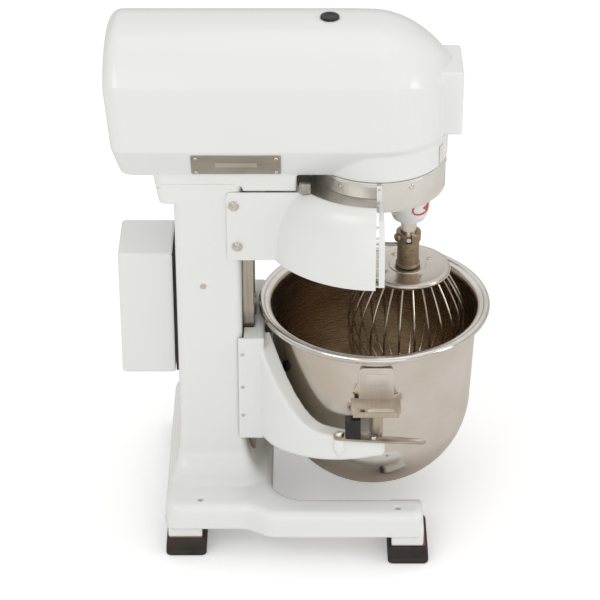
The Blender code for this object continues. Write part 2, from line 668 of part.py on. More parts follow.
def make_wire_guard(guard_axis):
    first, span = math.radians(88), math.radians(185)
    hoop = [(0.1065, 0.5500), (0.1065, 0.5440), (0.1005, 0.5440), (0.1005, 0.5500)]
    bars = [turned(hoop, 16, True, first, span)]
    inset = 0.0065

    def rail_path(z, steps=11):
        radius = guard_radius(z) - inset
        return [(radius * math.cos(first + span * k / steps), radius * math.sin(first + span * k / steps), z)
                for k in range(steps + 1)]

    for k in range(7):
        bars.append(sweep(rail_path(0.4502 + 0.0142 * k), 0.0015, 3))
    for share in (0.004, 0.335, 0.665, 0.996):
        angle = first + span * share
        path = [(guard_radius(z) - inset, z) for z in (0.4490, 0.475, 0.500, 0.520, 0.535, 0.5435)]
        path += [(0.1270, 0.5462), (0.1035, 0.5468)]
        thick = 0.0030 if share > 0.9 else 0.0016
        bars.append(sweep([(r * math.cos(angle), r * math.sin(angle), z) for r, z in path], thick, 4))
    frame = add_piece("wire_guard", bars[0], WHITE, guard_axis)
    for index, bar in enumerate(bars[1:]):
        join(frame, bar, f"wire_guard_bar_{index}")
    strap = turned([(0.1030, 0.5780), (0.1030, 0.5460), (0.1008, 0.5460), (0.1008, 0.5780)], 2, True,
                   first + span - math.radians(4.5), math.radians(4))
    join(frame, strap, "wire_guard_strap")


# Lift: slide rails, rack, pinion shaft and hand lever

def make_lift(lift_axis, carriage_axis):
    for name, side in (("slide_rail_left", -1), ("slide_rail_right", 1)):
        add_piece(name, box((0, -0.008, 0), (0.0160, 0.008, 0.400), 0.0008, 1), STEEL,
                  location=(-0.0876, side * 0.038, 0.100))
    pitch = math.pi * RACK_MODULE
    pitch_x = LIFT_X + LIFT_RADIUS
    tip = pitch_x - 0.8 * RACK_MODULE
    root = pitch_x + 1.2 * RACK_MODULE
    bottom, top = 0.1850, 0.3350
    outline = [(-0.0705, top), (-0.0705, bottom), (root, bottom)]
    first = math.ceil((bottom + 0.3 * pitch - LIFT_Z) / pitch - 0.5)
    last = math.floor((top - 0.3 * pitch - LIFT_Z) / pitch - 0.5)
    for i in range(first, last + 1):
        centre = LIFT_Z + (i + 0.5) * pitch
        outline += [(root, centre - 0.30 * pitch), (tip, centre - 0.10 * pitch),
                    (tip, centre + 0.10 * pitch), (root, centre + 0.30 * pitch)]
    outline.append((root, top))
    add_piece("lift_rack", prism(outline, -0.0155, 0.0155, "Y"), STEEL, carriage_axis)
    shaft = add_piece("lift_pinion_shaft", rod(0.0080, -0.0750, 0.1160, 16, axis="Y"), STEEL, lift_axis)
    teeth = teeth_outline(LIFT_TEETH, LIFT_RADIUS - 1.2 * RACK_MODULE, LIFT_RADIUS + 0.8 * RACK_MODULE)
    join(shaft, prism(teeth, -0.0150, 0.0150, "Y"), "lift_pinion_solid")
    lever = add_piece("lift_lever", rod(0.0170, 0.0990, 0.1150, 16, axis="Y"), CHROME, lift_axis)
    bar = loft([[(x * w, 0.107 + y * 0.0045, z) for x, y in ((-1, -1), (1, -1), (1, 1), (-1, 1))]
                for z, w in ((0.010, 0.0120), (0.135, 0.0085), (0.158, 0.0085))])
    join(lever, bar, "lift_bar_solid")
    cut(lever, rod(0.0083, 0.08, 0.13, 16, axis="Y"), "lift_lever_bore")
    grip = [(0, 0.0720), (0.0080, 0.0705), (0.0118, 0.0640), (0.0125, 0.0400), (0.0105, 0.0060),
            (0.0085, 0), (0, 0)]
    add_piece("lift_grip", moved(turned(grip, 12), (0, 0.1118, 0.1480), "Y"), BLACK, lift_axis)


# Carriage: cheeks, dovetail block and the two curved arms of the yoke

def arm_top(degrees):
    share = min(max((degrees - 13) / 52, 0.0), 1.0)
    return ARM_TOP + (0.319 - ARM_TOP) * 0.5 * (1 + math.cos(math.pi * share))


def arm_bottom(degrees):
    return 0.146 + 0.034 * min(max((degrees - 35) / 55, 0.0), 1.0) ** 1.2


def arm_solid(side):
    rings = []
    for k in range(11):
        degrees = 20 + 74 * k / 10
        angle = math.radians(degrees)
        low, high = arm_bottom(degrees), arm_top(degrees)
        outer = YOKE_OUTER
        if k == 10:
            outer -= 0.004
            low += 0.004
        ring = []
        for radius, z in ((YOKE_INNER, low), (outer - 0.010, low), (outer - 0.003, low + 0.004),
                          (outer, low + 0.012), (outer, high - 0.006), (outer - 0.002, high - 0.0017),
                          (outer - 0.006, high), (YOKE_INNER, high)):
            ring.append((BOWL_X - radius * math.cos(angle), side * radius * math.sin(angle), z))
        rings.append(ring)
    return loft(rings)


def make_carriage(carriage_axis):
    plate = box((-0.0706, -0.0856, 0.145), (-0.0565, 0.0856, 0.319), 0.002, 1)
    yoke = add_piece("carriage_yoke", plate, WHITE, carriage_axis)
    join(yoke, box((-0.0868, -0.0795, 0.197), (-0.0690, 0.0795, 0.3185), 0.001, 1), "slide_block_solid")
    for side in (-1, 1):
        ys = sorted((side * 0.0806, side * 0.0858))
        join(yoke, box((-0.0950, ys[0], 0.1455), (-0.0680, ys[1], 0.3188), 0.0012, 1), "cheek_solid")
        join(yoke, arm_solid(side), "arm_solid")
        boss = [(0, ARM_TOP - GAP), (0.0092, ARM_TOP - GAP), (0.0092, 0.1930), (0.0030, 0.1780), (0, 0.1780)]
        join(yoke, moved(turned(boss, 20), (LATCH_X, side * LATCH_Y, 0)), "latch_boss_solid")
        rail = sorted((side * 0.0297, side * 0.0463))
        cut(yoke, box((-0.10, rail[0], 0.10), (-0.0713, rail[1], 0.40)), "rail_groove_cutter")
        cut(yoke, rod(0.0045, 0.185, 0.24, 12, (LATCH_X, side * LATCH_Y, 0)), "latch_bolt_cutter")
        cut(yoke, rod(0.0074, 0.194, 0.24, 16, (BOWL_X, side * 0.1705, 0)), "lug_pin_cutter")
    cut(yoke, box((-0.10, -0.0158, 0.10), (-0.0702, 0.0158, 0.40)), "rack_channel_cutter")
    gib = box((-0.0860, -0.0008, 0.2000), (-0.0730, 0.0008, 0.3160))
    add_piece("gib_strip", gib, BRONZED, carriage_axis, location=(0, -0.0484, 0))
    cut(yoke, box((-0.10, -0.0505, 0.10), (-0.0713, -0.0460, 0.40)), "gib_channel_cutter")
    for side in (-1, 1):
        name = "left" if side < 0 else "right"
        bumper = rod(0.0085, -0.1625, -0.1530, 16, (0, 0, 0), "X")
        add_piece(f"bowl_bumper_{name}", bumper, BLACK, carriage_axis, location=(BOWL_X, 0, 0.252),
                  rotation=(0, 0, -side * math.radians(24)))


# Bowl with its side lugs, and the latches that hold it on the yoke

def make_bowl(carriage_axis):
    turns = [math.pi / 2 * k / 6 for k in range(7)]
    outer = [(BOWL_BALL_RADIUS * math.sin(t), BOWL_BALL_Z - BOWL_BALL_RADIUS * math.cos(t)) for t in turns]
    core = BOWL_BALL_RADIUS - BOWL_WALL
    inner = [(core * math.sin(t), BOWL_BALL_Z - core * math.cos(t)) for t in turns]
    rim = [(BOWL_TOP_RADIUS, 0.3200), (0.1580, 0.3250), (0.1680, 0.3275), (BOWL_RIM_RADIUS, 0.3320),
           (0.1660, 0.3375), (0.1610, BOWL_RIM), (0.1555, 0.3350), (BOWL_TOP_RADIUS - BOWL_WALL, 0.3210)]
    profile = outer[1:] + rim + inner[::-1][:-1]
    outline = [(0, outer[0][1])] + profile + [(0, inner[0][1])]
    add_piece("mixing_bowl", turned(outline[::-1], 32), STAINLESS, carriage_axis, location=(BOWL_X, 0, 0))


def make_lug(name, side, carriage_axis):
    """A stainless angle on the bowl's side, with a pin that drops into the arm."""
    near = BOWL_TOP_RADIUS + GAP
    ys = sorted((side * near, side * (near + 0.003)))
    lug = add_piece(name, box((-0.0250, ys[0], 0.2585), (0.0250, ys[1], 0.312)), STAINLESS, carriage_axis,
                    location=(BOWL_X, 0, 0))
    ys = sorted((side * (near + 0.0002), side * 0.192))
    join(lug, box((-0.0370, ys[0], 0.2575), (0.0350, ys[1], 0.2605)), "lug_shelf_solid")
    join(lug, rod(0.0100, 0.2160, 0.2585, 16, (0, side * 0.1690, 0)), "lug_collar_solid")
    join(lug, rod(0.0070, 0.1975, 0.2200, 16, (0, side * 0.1705, 0)), "lug_pin_solid")
    ys = sorted((side * 0.1820, side * 0.1880))
    for low, high in ((-0.0230, -0.0180), (-0.0130, 0.0240)):
        cut(lug, box((low, ys[0], 0.25), (high, ys[1], 0.27)), "lug_slot_cutter")


def make_latch(name, side, latch_axis):
    points = [(-0.0085, -0.0060), (0.0, -0.0085), (0.0300, -0.0060), (0.0380, -0.0010), (0.0720, 0.0020),
              (0.1180, 0.0085), (0.1250, 0.0140), (0.1180, 0.0195), (0.0700, 0.0165), (0.0300, 0.0125),
              (0.0, 0.0085), (-0.0085, 0.0060)]
    outline = [(x, side * out) for x, out in points]
    lever = add_piece(f"latch_lever_{name}", prism(outline, 0.2113, 0.2148), STAINLESS, latch_axis)
    cut(lever, rod(0.0045, 0.20, 0.23, 12), "latch_bore_cutter")
    ys = sorted((-side * 0.0050, side * 0.0105))
    block = box((0.0080, ys[0], 0.2151), (0.0300, ys[1], 0.2465), 0.0012)
    add_piece(f"latch_block_{name}", block, BLACK, latch_axis)


def make_latch_bolt(name, side, carriage_axis):
    profile = [(0, 0.2195), (0.0050, 0.2190), (0.0066, 0.2170), (0.0066, 0.2151), (0.0042, 0.2151),
               (0.0042, 0.1880), (0, 0.1880)]
    add_piece(f"latch_bolt_{name}", turned(profile, 12), STEEL, carriage_axis,
              location=(LATCH_X, side * LATCH_Y, 0))


# Rear electrical box with its push buttons, and the gear-shift lever

def make_electrics(start_axis, stop_axis):
    casing = box((-0.266, -0.0515, 0.239), (-0.1869, 0.0515, 0.441), 0.0025)
    shell = add_piece("electrical_box", casing, WHITE)
    cut(shell, box((-0.264, -0.0495, 0.241), (-0.15, 0.0495, 0.439)), "electrical_hollow")
    gasket = add_piece("box_gasket", box((-0.1866, -0.0485, 0.242), (-0.1823, 0.0485, 0.438)), RUBBER)
    cut(gasket, box((-0.19, -0.0440, 0.2465), (-0.17, 0.0440, 0.4335)), "gasket_opening")
    block = box((-0.2610, -0.0240, 0.290), (-0.2120, 0.0240, 0.352), 0.0015, 1)
    contactor = add_piece("contactor", block, BLACK)
    cut(contactor, box((-0.2200, -0.0150, 0.335), (-0.20, 0.0150, 0.36)), "terminal_recess")
    button = [(0, 0.0090), (0.0065, 0.0085), (0.0080, 0.0070), (0.0080, -0.0045), (0.0105, -0.0045),
              (0.0105, -0.0070), (0, -0.0070)]
    for name, axis, colour in (("start_button", start_axis, GREEN), ("stop_button", stop_axis, RED)):
        add_piece(name, moved(turned(button, 12), (0, 0.0515, 0), "Y"), colour, axis)
        x, _, z = axis.location
        cut(shell, rod(0.0085, 0.04, 0.06, 12, (x, 0, z), "Y"), f"{name}_hole")
    gland = [(0, 0.0260), (0.0050, 0.0260), (0.0058, 0.0100), (0.0095, 0.0085), (0.0095, GAP), (0, GAP)]
    add_piece("cable_gland", moved(turned(gland, 12), axis="Y"), BLACK, location=(-0.228, 0.0515, 0.262))


def make_gear_shift(shift_axis):
    spindle = [(0, -0.0400), (0.0110, -0.0400), (0.0110, -0.0300), (0.0072, -0.0290), (0.0072, 0.0130),
               (0, 0.0130)]
    add_piece("shift_spindle", moved(turned(spindle, 12), axis="Y"), STEEL, shift_axis)
    lever = add_piece("shift_lever", rod(0.0130, 0.0015, 0.0120, 16, axis="Y"), CHROME, shift_axis)
    join(lever, box((-0.0055, 0.0035, -0.0620), (0.0055, 0.0095, -0.008)), "shift_bar_solid")
    cut(lever, rod(0.0076, -0.01, 0.02, 12, axis="Y"), "shift_lever_bore")
    knob = [(0, 0.0300), (0.0070, 0.0290), (0.0108, 0.0220), (0.0108, 0.0120), (0.0060, 0.0020),
            (0.0060, 0), (0, 0)]
    add_piece("shift_knob", moved(turned(knob, 12), (0, 0.0098, -0.0530), "Y"), BLACK, shift_axis)


def build():
    make_pedestal()
    make_feet()
    make_head()
    make_head_fittings()
    make_motor()
    drive = (0, 0, DRIVE_Z)
    make_gear_train(add_axis("motor_axis", drive), add_axis("layshaft_axis", (0, LAY_Y, DRIVE_Z)),
                    add_axis("output_axis", drive))
    carrier_axis = add_axis("planetary_axis", (BOWL_X, 0, 0))
    agitator_axis = add_axis("agitator_axis", (PLANET_OFFSET, 0, 0), carrier_axis)
    make_planetary(carrier_axis, agitator_axis)
    make_whisk(agitator_axis)
    make_fixed_guard()
    make_wire_guard(add_axis("guard_axis", (BOWL_X, 0, 0)))
    carriage_axis = add_axis("carriage_axis", (0, 0, 0))
    make_lift(add_axis("lift_axis", (LIFT_X, 0, LIFT_Z)), carriage_axis)
    make_carriage(carriage_axis)
    make_bowl(carriage_axis)
    for name, side in (("left", -1), ("right", 1)):
        make_lug(f"bowl_lug_{name}", side, carriage_axis)
        latch_axis = add_axis(f"latch_axis_{name}", (LATCH_X, side * LATCH_Y, 0), carriage_axis)
        make_latch(name, side, latch_axis)
        make_latch_bolt(name, side, carriage_axis)
    make_electrics(add_axis("start_axis", (-0.228, 0, 0.405)), add_axis("stop_axis", (-0.228, 0, 0.370)))
    make_gear_shift(add_axis("shift_axis", (0.000, HEAD_HALF, 0.655)))


build()
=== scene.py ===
from math import atan2, copysign, cos, pi, radians, sin, sqrt, tan

import bmesh
import bpy
from mathutils import Matrix, Vector


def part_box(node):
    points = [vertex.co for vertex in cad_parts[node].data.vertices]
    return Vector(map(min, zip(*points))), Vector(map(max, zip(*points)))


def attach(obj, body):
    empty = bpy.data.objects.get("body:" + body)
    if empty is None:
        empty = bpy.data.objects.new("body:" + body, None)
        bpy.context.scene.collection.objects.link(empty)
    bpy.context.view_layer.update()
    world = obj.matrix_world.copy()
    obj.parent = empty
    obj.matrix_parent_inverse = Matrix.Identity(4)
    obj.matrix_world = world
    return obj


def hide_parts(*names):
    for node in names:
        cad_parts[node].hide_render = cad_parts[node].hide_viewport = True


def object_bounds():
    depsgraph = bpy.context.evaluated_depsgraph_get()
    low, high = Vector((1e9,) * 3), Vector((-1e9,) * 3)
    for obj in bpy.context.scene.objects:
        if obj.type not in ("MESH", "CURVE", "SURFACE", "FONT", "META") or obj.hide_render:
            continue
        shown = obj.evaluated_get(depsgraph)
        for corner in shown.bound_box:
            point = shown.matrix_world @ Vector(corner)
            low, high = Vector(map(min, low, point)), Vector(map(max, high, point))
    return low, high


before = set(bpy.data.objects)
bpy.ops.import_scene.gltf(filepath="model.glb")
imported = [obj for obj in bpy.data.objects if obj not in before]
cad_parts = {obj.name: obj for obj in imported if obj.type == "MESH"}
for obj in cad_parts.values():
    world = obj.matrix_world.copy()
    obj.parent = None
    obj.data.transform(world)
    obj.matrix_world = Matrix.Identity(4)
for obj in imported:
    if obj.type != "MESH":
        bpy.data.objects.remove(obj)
CAD_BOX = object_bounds()

# Places read from the frame, in metres
TAU = 2 * pi
ring_low, ring_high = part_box("planet_ring_cover")
BOWL_X = (ring_low.x + ring_high.x) / 2
RING_RADIUS = (ring_high.x - ring_low.x) / 2
sleeve_low, sleeve_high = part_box("whisk_sleeve")
WHISK_X = (sleeve_low.x + sleeve_high.x) / 2
bowl_low, bowl_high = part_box("mixing_bowl")
BOWL_RIM_RADIUS = (bowl_high.x - bowl_low.x) / 2
BOWL_RIM_Z = bowl_high.z
HUB_FRONT, HEAD_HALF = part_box("head_casting")[1].xy
bearing_low, bearing_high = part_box("hub_bearing")
DRIVE_Z = (bearing_low.z + bearing_high.z) / 2
SEAM_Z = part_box("pedestal_casting")[1].z
bolt_low, bolt_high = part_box("latch_bolt_right")
LATCH_X = (bolt_low.x + bolt_high.x) / 2
LATCH_Y = (bolt_low.y + bolt_high.y) / 2
FOOT_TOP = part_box("foot_front_left")[1].z

# Shapes, in metres, kept close to the CAD's
LEG_BOTTOM, LEG_TOP = 0.047, 0.087
REAR_HALF, FRONT_HALF = 0.18, 0.2
COLUMN_HALF, COLUMN_FRONT, COLUMN_REAR = 0.08, -0.0885, -0.182
NECK_HALF, NECK_FRONT, NECK_REAR = 0.0803, -0.0865, -0.207
HEAD_FLOOR, HEAD_CHAMFER_TOP, HEAD_CREASE, HEAD_TOP = 0.58, 0.631, 0.728, 0.786
HEAD_REAR = ((0.58, -0.255), (0.631, -0.266), (0.728, -0.274))
HEAD_REAR_CORNER = (0.0215, 0.02, 0.034)
HEAD_WALL = 0.006
NOSE_RADIUS = 0.1
COLLAR_RADIUS = 0.0985
LIFT_X, LIFT_Z = -0.116, 0.31
SHIFT_Z = 0.655
GUARD_SHEET = 0.0018
GUARD_PLATE_Y = 0.0825
GUARD_TOP, GUARD_BOTTOM = 0.557, 0.447
GUARD_TOP_RADIUS, GUARD_BOTTOM_RADIUS = 0.127, 0.165
CAGE_BOTTOM, CAGE_TOP = 0.449, 0.5435        # uprights of the wire guard
CAGE_INSET = 0.0065                          # wire guard inside the sheet guard
YOKE_INNER, YOKE_OUTER = 0.163, 0.188
YOKE_TOP, ARM_TOP = 0.319, 0.211
BOWL_BALL_RADIUS, BOWL_BALL_Z = 0.1455, 0.183
BOWL_TOP_RADIUS, BOWL_WALL = 0.1513, 0.0018
LUG_PIN_Y = 0.1705
LATCH_BORE = 0.0045
WHISK_RADIUS, WHISK_WAIST_Z = 0.086, 0.3
WHISK_LOOPS = 12
WIRE_RADIUS = 0.0015

# Camera
CAMERA_PLACE = (-0.005, -3.0, 2.142)
CAMERA_PITCH = 31.09                         # degrees down from level
CAMERA_LENS = 142.9                          # mm, on a sensor 36 mm wide

FINE = 0.0018      # voxel of the smoothed castings


# Materials

def start_material(name):
    material = bpy.data.materials.new(name)
    material.use_nodes = True
    return material, material.node_tree, material.node_tree.nodes["Principled BSDF"]


def node(tree, kind, inputs, **settings):
    """Adds a node. Each input is a plain value, or another node's socket to link to."""
    made = tree.nodes.new("ShaderNode" + kind)
    for name, value in settings.items():
        setattr(made, name, value)
    fill(tree, made, inputs)
    return made


def fill(tree, made, inputs):
    for name, value in inputs.items():
        if isinstance(value, bpy.types.NodeSocket):
            tree.links.new(value, made.inputs[name])
        else:
            made.inputs[name].default_value = value


def noise(tree, scale, stretch=(1, 1, 1), detail=3.0):
    place = node(tree, "TexCoord", {}).outputs["Object"]
    mapping = node(tree, "Mapping", {"Scale": stretch, "Vector": place})
    values = {"Scale": scale, "Detail": detail, "Vector": mapping.outputs["Vector"]}
    return node(tree, "TexNoise", values).outputs["Fac"]


def rings(tree, centre_x, scale):
    """Fine turned rings about a vertical axis."""
    place = node(tree, "TexCoord", {}).outputs["Object"]
    mapping = node(tree, "Mapping", {"Location": (-centre_x, 0, 0), "Vector": place})
    values = {"Scale": scale, "Distortion": 2.0, "Detail": 2.0, "Vector": mapping.outputs["Vector"]}
    return node(tree, "TexWave", values, wave_type="RINGS", rings_direction="Z").outputs["Fac"]


def ramp(tree, source, low, high, start=0.3, end=0.7):
    made = node(tree, "ValToRGB", {"Fac": source})
    for element, position, colour in zip(made.color_ramp.elements, (start, end), (low, high)):
        element.position = position
        element.color = (*colour, 1)
    return made.outputs["Color"]


def spread(tree, source, low, high, start=0.3, end=0.7):
    values = {"From Min": start, "From Max": end, "To Min": low, "To Max": high, "Value": source}
    return node(tree, "MapRange", values).outputs["Result"]


def blend_colour(tree, first, second, factor=1.0, kind="MULTIPLY"):
    values = {"Factor": factor, "A": first, "B": second}
    return node(tree, "Mix", values, data_type="RGBA", blend_type=kind).outputs["Result"]


def bump(tree, shader, source, strength, distance=0.0003):
    made = node(tree, "Bump", {"Strength": strength, "Distance": distance, "Height": source})
    tree.links.new(made.outputs["Normal"], shader.inputs["Normal"])


def enamel(name, low, high):
    """Stoved gloss paint over a cast body: faint mottling, orange peel, and painted shade in the corners."""
    material, tree, shader = start_material(name)
    tone = ramp(tree, noise(tree, 2.5), low, high)
    # Painted shade: ambient occlusion darkens corners and creases to a warm grey.
    shade = node(tree, "AmbientOcclusion", {"Distance": 0.008}, samples=12)
    painted_corner_shade = ramp(tree, shade.outputs["AO"], (0.78, 0.74, 0.68), (1, 1, 1), 0.05, 0.5)
    colour = blend_colour(tree, tone, painted_corner_shade, 0.7)
    roughness = spread(tree, noise(tree, 12.0), 0.21, 0.25)
    fill(tree, shader, {"Base Color": colour, "Roughness": roughness, "Coat Weight": 0.3,
                        "Coat Roughness": 0.1})
    bump(tree, shader, noise(tree, 420.0, detail=2.0), 0.03)
    return material


def facing(tree, axis):
    """How far the surface faces along an axis, from 0 for against it to 1 for along it."""
    geometry = node(tree, "NewGeometry", {})
    split = node(tree, "SeparateXYZ", {"Vector": geometry.outputs["Normal"]})
    return spread(tree, split.outputs[axis], 0.0, 1.0, -1.0, 1.0)


def metal(name, low, high, rough, pattern, grain=0.1, anisotropic=0.0, painted_reflection_below=False, bare=1.0):
    """Bare metal: pattern is a function of the node tree that gives the grain of its finish.

    With the brown tint on, the faces that look down or to the rear are darkened brown: a painted reflection,
    in place of a brown surrounding for polished steel to reflect. Bare below 1 leaves some scattered light.
    """
    material, tree, shader = start_material(name)
    grain_value = pattern(tree)
    colour = ramp(tree, grain_value, low, high)
    if painted_reflection_below:
        # Painted reflection: faces that look down or to the rear are darkened brown.
        under = ramp(tree, facing(tree, "Z"), (0.5, 0.4, 0.29), (1, 1, 1), 0.08, 0.4)
        rear = ramp(tree, facing(tree, "X"), (0.74, 0.65, 0.53), (1, 1, 1), 0.03, 0.4)
        for tint, amount in ((under, 0.9), (rear, 0.8)):
            colour = blend_colour(tree, colour, tint, amount)
    stain = ramp(tree, noise(tree, 14.0, detail=5.0), (0.88, 0.86, 0.83), (1, 1, 1))
    colour = blend_colour(tree, colour, stain)
    roughness = spread(tree, grain_value, rough * 0.75, rough * 1.3)
    fill(tree, shader, {"Base Color": colour, "Metallic": bare, "Roughness": roughness,
                        "Anisotropic": anisotropic})
    bump(tree, shader, grain_value, grain)
    return material


def moulded(name, low, high, rough, scale=260.0, grain=0.25):
    """Moulded rubber or plastic with a fine grain and scuffs."""
    material, tree, shader = start_material(name)
    scuff = noise(tree, 28.0, detail=6.0)
    colour = ramp(tree, scuff, low, high, 0.35, 0.75)
    fill(tree, shader, {"Base Color": colour, "Roughness": spread(tree, scuff, rough * 0.8, rough * 1.15)})
    bump(tree, shader, noise(tree, scale), grain)
    return material


def make_materials():
    def along(*stretch):
        return lambda tree: noise(tree, 1.0, stretch, 4.0)

    def turned_rings(x, scale):
        return lambda tree: rings(tree, x, scale)

    return {
        "white": enamel("white_enamel_coat", (0.785, 0.792, 0.764), (0.806, 0.813, 0.787)),
        "rubber": moulded("foot_rubber_grain", (0.018, 0.013, 0.01), (0.045, 0.034, 0.027), 0.7),
        "black": moulded("black_plastic_grain", (0.01, 0.009, 0.009), (0.028, 0.026, 0.025), 0.42),
        "bowl": metal("bowl_spun_steel", (0.8, 0.77, 0.735), (0.86, 0.83, 0.795), 0.13, along(4, 4, 900),
            0.05, 0.5, painted_reflection_below=True),
        # The inside is the same steel as the outside, coloured darker and browner: painted shade and
        # reflection.
        "bowl_inside": metal("bowl_inner_painted_reflection", (0.56, 0.47, 0.375), (0.61, 0.52, 0.42), 0.24,
            along(5, 5, 700), 0.008, 0.4),
        "rim": metal("bowl_rim_steel", (0.78, 0.76, 0.73), (0.86, 0.84, 0.81), 0.12, along(60, 60, 500),
            0.03),
        "wire": metal("whisk_wire_steel", (0.5, 0.44, 0.37), (0.64, 0.58, 0.5), 0.2, along(200, 200, 60),
            0.03),
        "disc": metal("whisk_disc_steel", (0.66, 0.615, 0.56), (0.78, 0.735, 0.68), 0.24,
            turned_rings(WHISK_X, 380.0), 0.1),
        "ring": metal("turned_alloy_ring", (0.88, 0.88, 0.875), (0.95, 0.95, 0.945), 0.13, along(9, 9, 260),
            0.02, 0.4, bare=0.9),
        "steel": metal("machined_steel_face", (0.42, 0.4, 0.38), (0.56, 0.54, 0.52), 0.32,
            along(500, 60, 60), 0.1),
        "slide": metal("ground_slide_steel", (0.46, 0.42, 0.37), (0.6, 0.56, 0.5), 0.2, along(300, 300, 12),
            0.08, 0.3),
        "lug": metal("lug_plate_steel", (0.56, 0.48, 0.395), (0.66, 0.58, 0.49), 0.38, along(420, 40, 40),
            0.05, bare=0.85),
        "lug_tab": metal("lug_tab_steel", (0.74, 0.705, 0.66), (0.8, 0.765, 0.72), 0.42, along(420, 40, 40),
            0.02, bare=0.8),
        "lever": metal("lever_steel", (0.44, 0.39, 0.335), (0.57, 0.52, 0.455), 0.32, along(40, 420, 420),
            0.04, bare=0.85),
        "bronze": metal("bronzed_steel_skin", (0.3, 0.225, 0.155), (0.46, 0.365, 0.265), 0.36,
            along(160, 160, 420), 0.16),
        "plate": metal("etched_plate", (0.4, 0.35, 0.305), (0.52, 0.47, 0.42), 0.34, along(14, 600, 600),
            0.12, 0.4),
        "plate_label": metal("plate_blank_panel", (0.6, 0.55, 0.5), (0.68, 0.63, 0.58), 0.42,
            along(14, 500, 500), 0.08),
        "screw": metal("nickel_screw", (0.72, 0.7, 0.66), (0.86, 0.84, 0.8), 0.22, along(300, 300, 300),
            0.06),
        # Grey-brown for the guard's flat top flange, which lies in shadow under the head: painted shade.
        "flange": metal("guard_flange_painted_shade", (0.46, 0.43, 0.39), (0.58, 0.55, 0.51), 0.38,
            turned_rings(BOWL_X, 260.0), 0.08),
        "iron": metal("stator_laminations", (0.15, 0.16, 0.18), (0.26, 0.27, 0.29), 0.5, along(900, 30, 30),
            0.3),
        "copper": metal("wound_copper", (0.46, 0.22, 0.1), (0.66, 0.36, 0.18), 0.4, along(700, 60, 60),
            0.4),
        "green": moulded("green_button_cap", (0.015, 0.24, 0.06), (0.03, 0.33, 0.1), 0.3, 180.0, 0.08),
        "red": moulded("red_button_cap", (0.42, 0.015, 0.015), (0.55, 0.03, 0.025), 0.3, 180.0, 0.08),
        "red_ink": moulded("red_print", (0.55, 0.055, 0.035), (0.66, 0.095, 0.06), 0.4, 300.0, 0.03),
        "label": moulded("blank_label_film", (0.72, 0.7, 0.68), (0.8, 0.78, 0.76), 0.35, 300.0, 0.03),
        "label_edge": moulded("label_pink_edge", (0.58, 0.25, 0.22), (0.68, 0.34, 0.3), 0.35, 300.0, 0.03),
        "primer": moulded("primer_edge", (0.22, 0.075, 0.045), (0.32, 0.12, 0.08), 0.55, 300.0, 0.1),
    }


LOOK = make_materials()


# Mesh helpers

def polar(centre_x, radius, angle, z):
    """A point round an upright axis through (centre_x, 0)."""
    return (centre_x + radius * cos(angle), radius * sin(angle), z)


def span(side, near, far):
    """Lowest and highest Y of something between two distances out on one side."""
    return sorted((side * near, side * far))


def link(name, data):
    obj = bpy.data.objects.new(name, data)
    bpy.context.scene.collection.objects.link(obj)
    return obj


def solid(name, mesh):
    data = bpy.data.meshes.new(name)
    mesh.to_mesh(data)
    mesh.free()
    return link(name, data)


def paint(mesh, index):
    for face in mesh.faces:
        face.material_index = index
    return mesh


def add_piece(name, mesh, look, replaces=(), body="frame", sharp=32):
    """Adds a bmesh as a shown piece that stands for CAD nodes and rides on a body.

    The look is one finish, or one for each material index.
    """
    looks = [look] if isinstance(look, str) else look
    bmesh.ops.recalc_face_normals(mesh, faces=mesh.faces)
    obj = solid(name, mesh)
    obj.data.shade_smooth()
    obj.data.set_sharp_from_angle(angle=radians(sharp))
    for key in looks:
        obj.data.materials.append(LOOK[key])
    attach(obj, body)
    if replaces:
        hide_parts(*replaces)
    return obj


def evaluate(obj):
    """Applies the object's modifiers to its mesh."""
    depsgraph = bpy.context.evaluated_depsgraph_get()
    data = bpy.data.meshes.new_from_object(obj.evaluated_get(depsgraph))
    obj.modifiers.clear()
    obj.data = data


def join(mesh):
    return "UNION", mesh


def cut(mesh):
    return "DIFFERENCE", mesh


def carve(mesh, steps):
    """A bmesh after Boolean steps, each from join() or cut()."""
    def temporary(shape):
        bmesh.ops.recalc_face_normals(shape, faces=shape.faces)
        return solid("work", shape)

    target = temporary(mesh)
    for operation, tool_mesh in steps:
        tool = temporary(tool_mesh)
        modifier = target.modifiers.new("step", "BOOLEAN")
        modifier.operation = operation
        modifier.object = tool
        evaluate(target)
        bpy.data.objects.remove(tool)
    result = bmesh.new()
    result.from_mesh(target.data)
    bpy.data.objects.remove(target)
    return result


def cast_finish(obj, voxel=FINE, passes=6):
    """Softens every edge the way a sand casting's edges are soft."""
    remesh = obj.modifiers.new("remesh", "REMESH")
    remesh.mode = "VOXEL"
    remesh.voxel_size = voxel
    smooth = obj.modifiers.new("smooth", "SMOOTH")
    smooth.factor = 0.5
    smooth.iterations = passes
    evaluate(obj)
    obj.data.shade_smooth()
    return obj


def merge(*meshes):
    whole = bmesh.new()
    for mesh in meshes:
        data = bpy.data.meshes.new("part")
        mesh.to_mesh(data)
        whole.from_mesh(data)
        mesh.free()
        bpy.data.meshes.remove(data)
    return whole


def loft(rows_of_points, closed=False, across=False):
    """Skins rings of equal length. Open ends are capped flat, or from side to side with across."""
    mesh = bmesh.new()
    rows = [[mesh.verts.new(point) for point in ring] for ring in rows_of_points]
    pairs = list(zip(rows, rows[1:]))
    if closed:
        pairs.append((rows[-1], rows[0]))
    count = len(rows[0])
    for lower, upper in pairs:
        for i in range(count):
            j = (i + 1) % count
            mesh.faces.new((lower[i], lower[j], upper[j], upper[i]))
    if closed:
        return mesh
    for row in (rows[0], rows[-1]):
        if not across:
            mesh.faces.new(row)
            continue
        for i in range(count // 2):
            mesh.faces.new(dict.fromkeys((row[i], row[i + 1], row[count - 2 - i], row[count - 1 - i])))
    return mesh


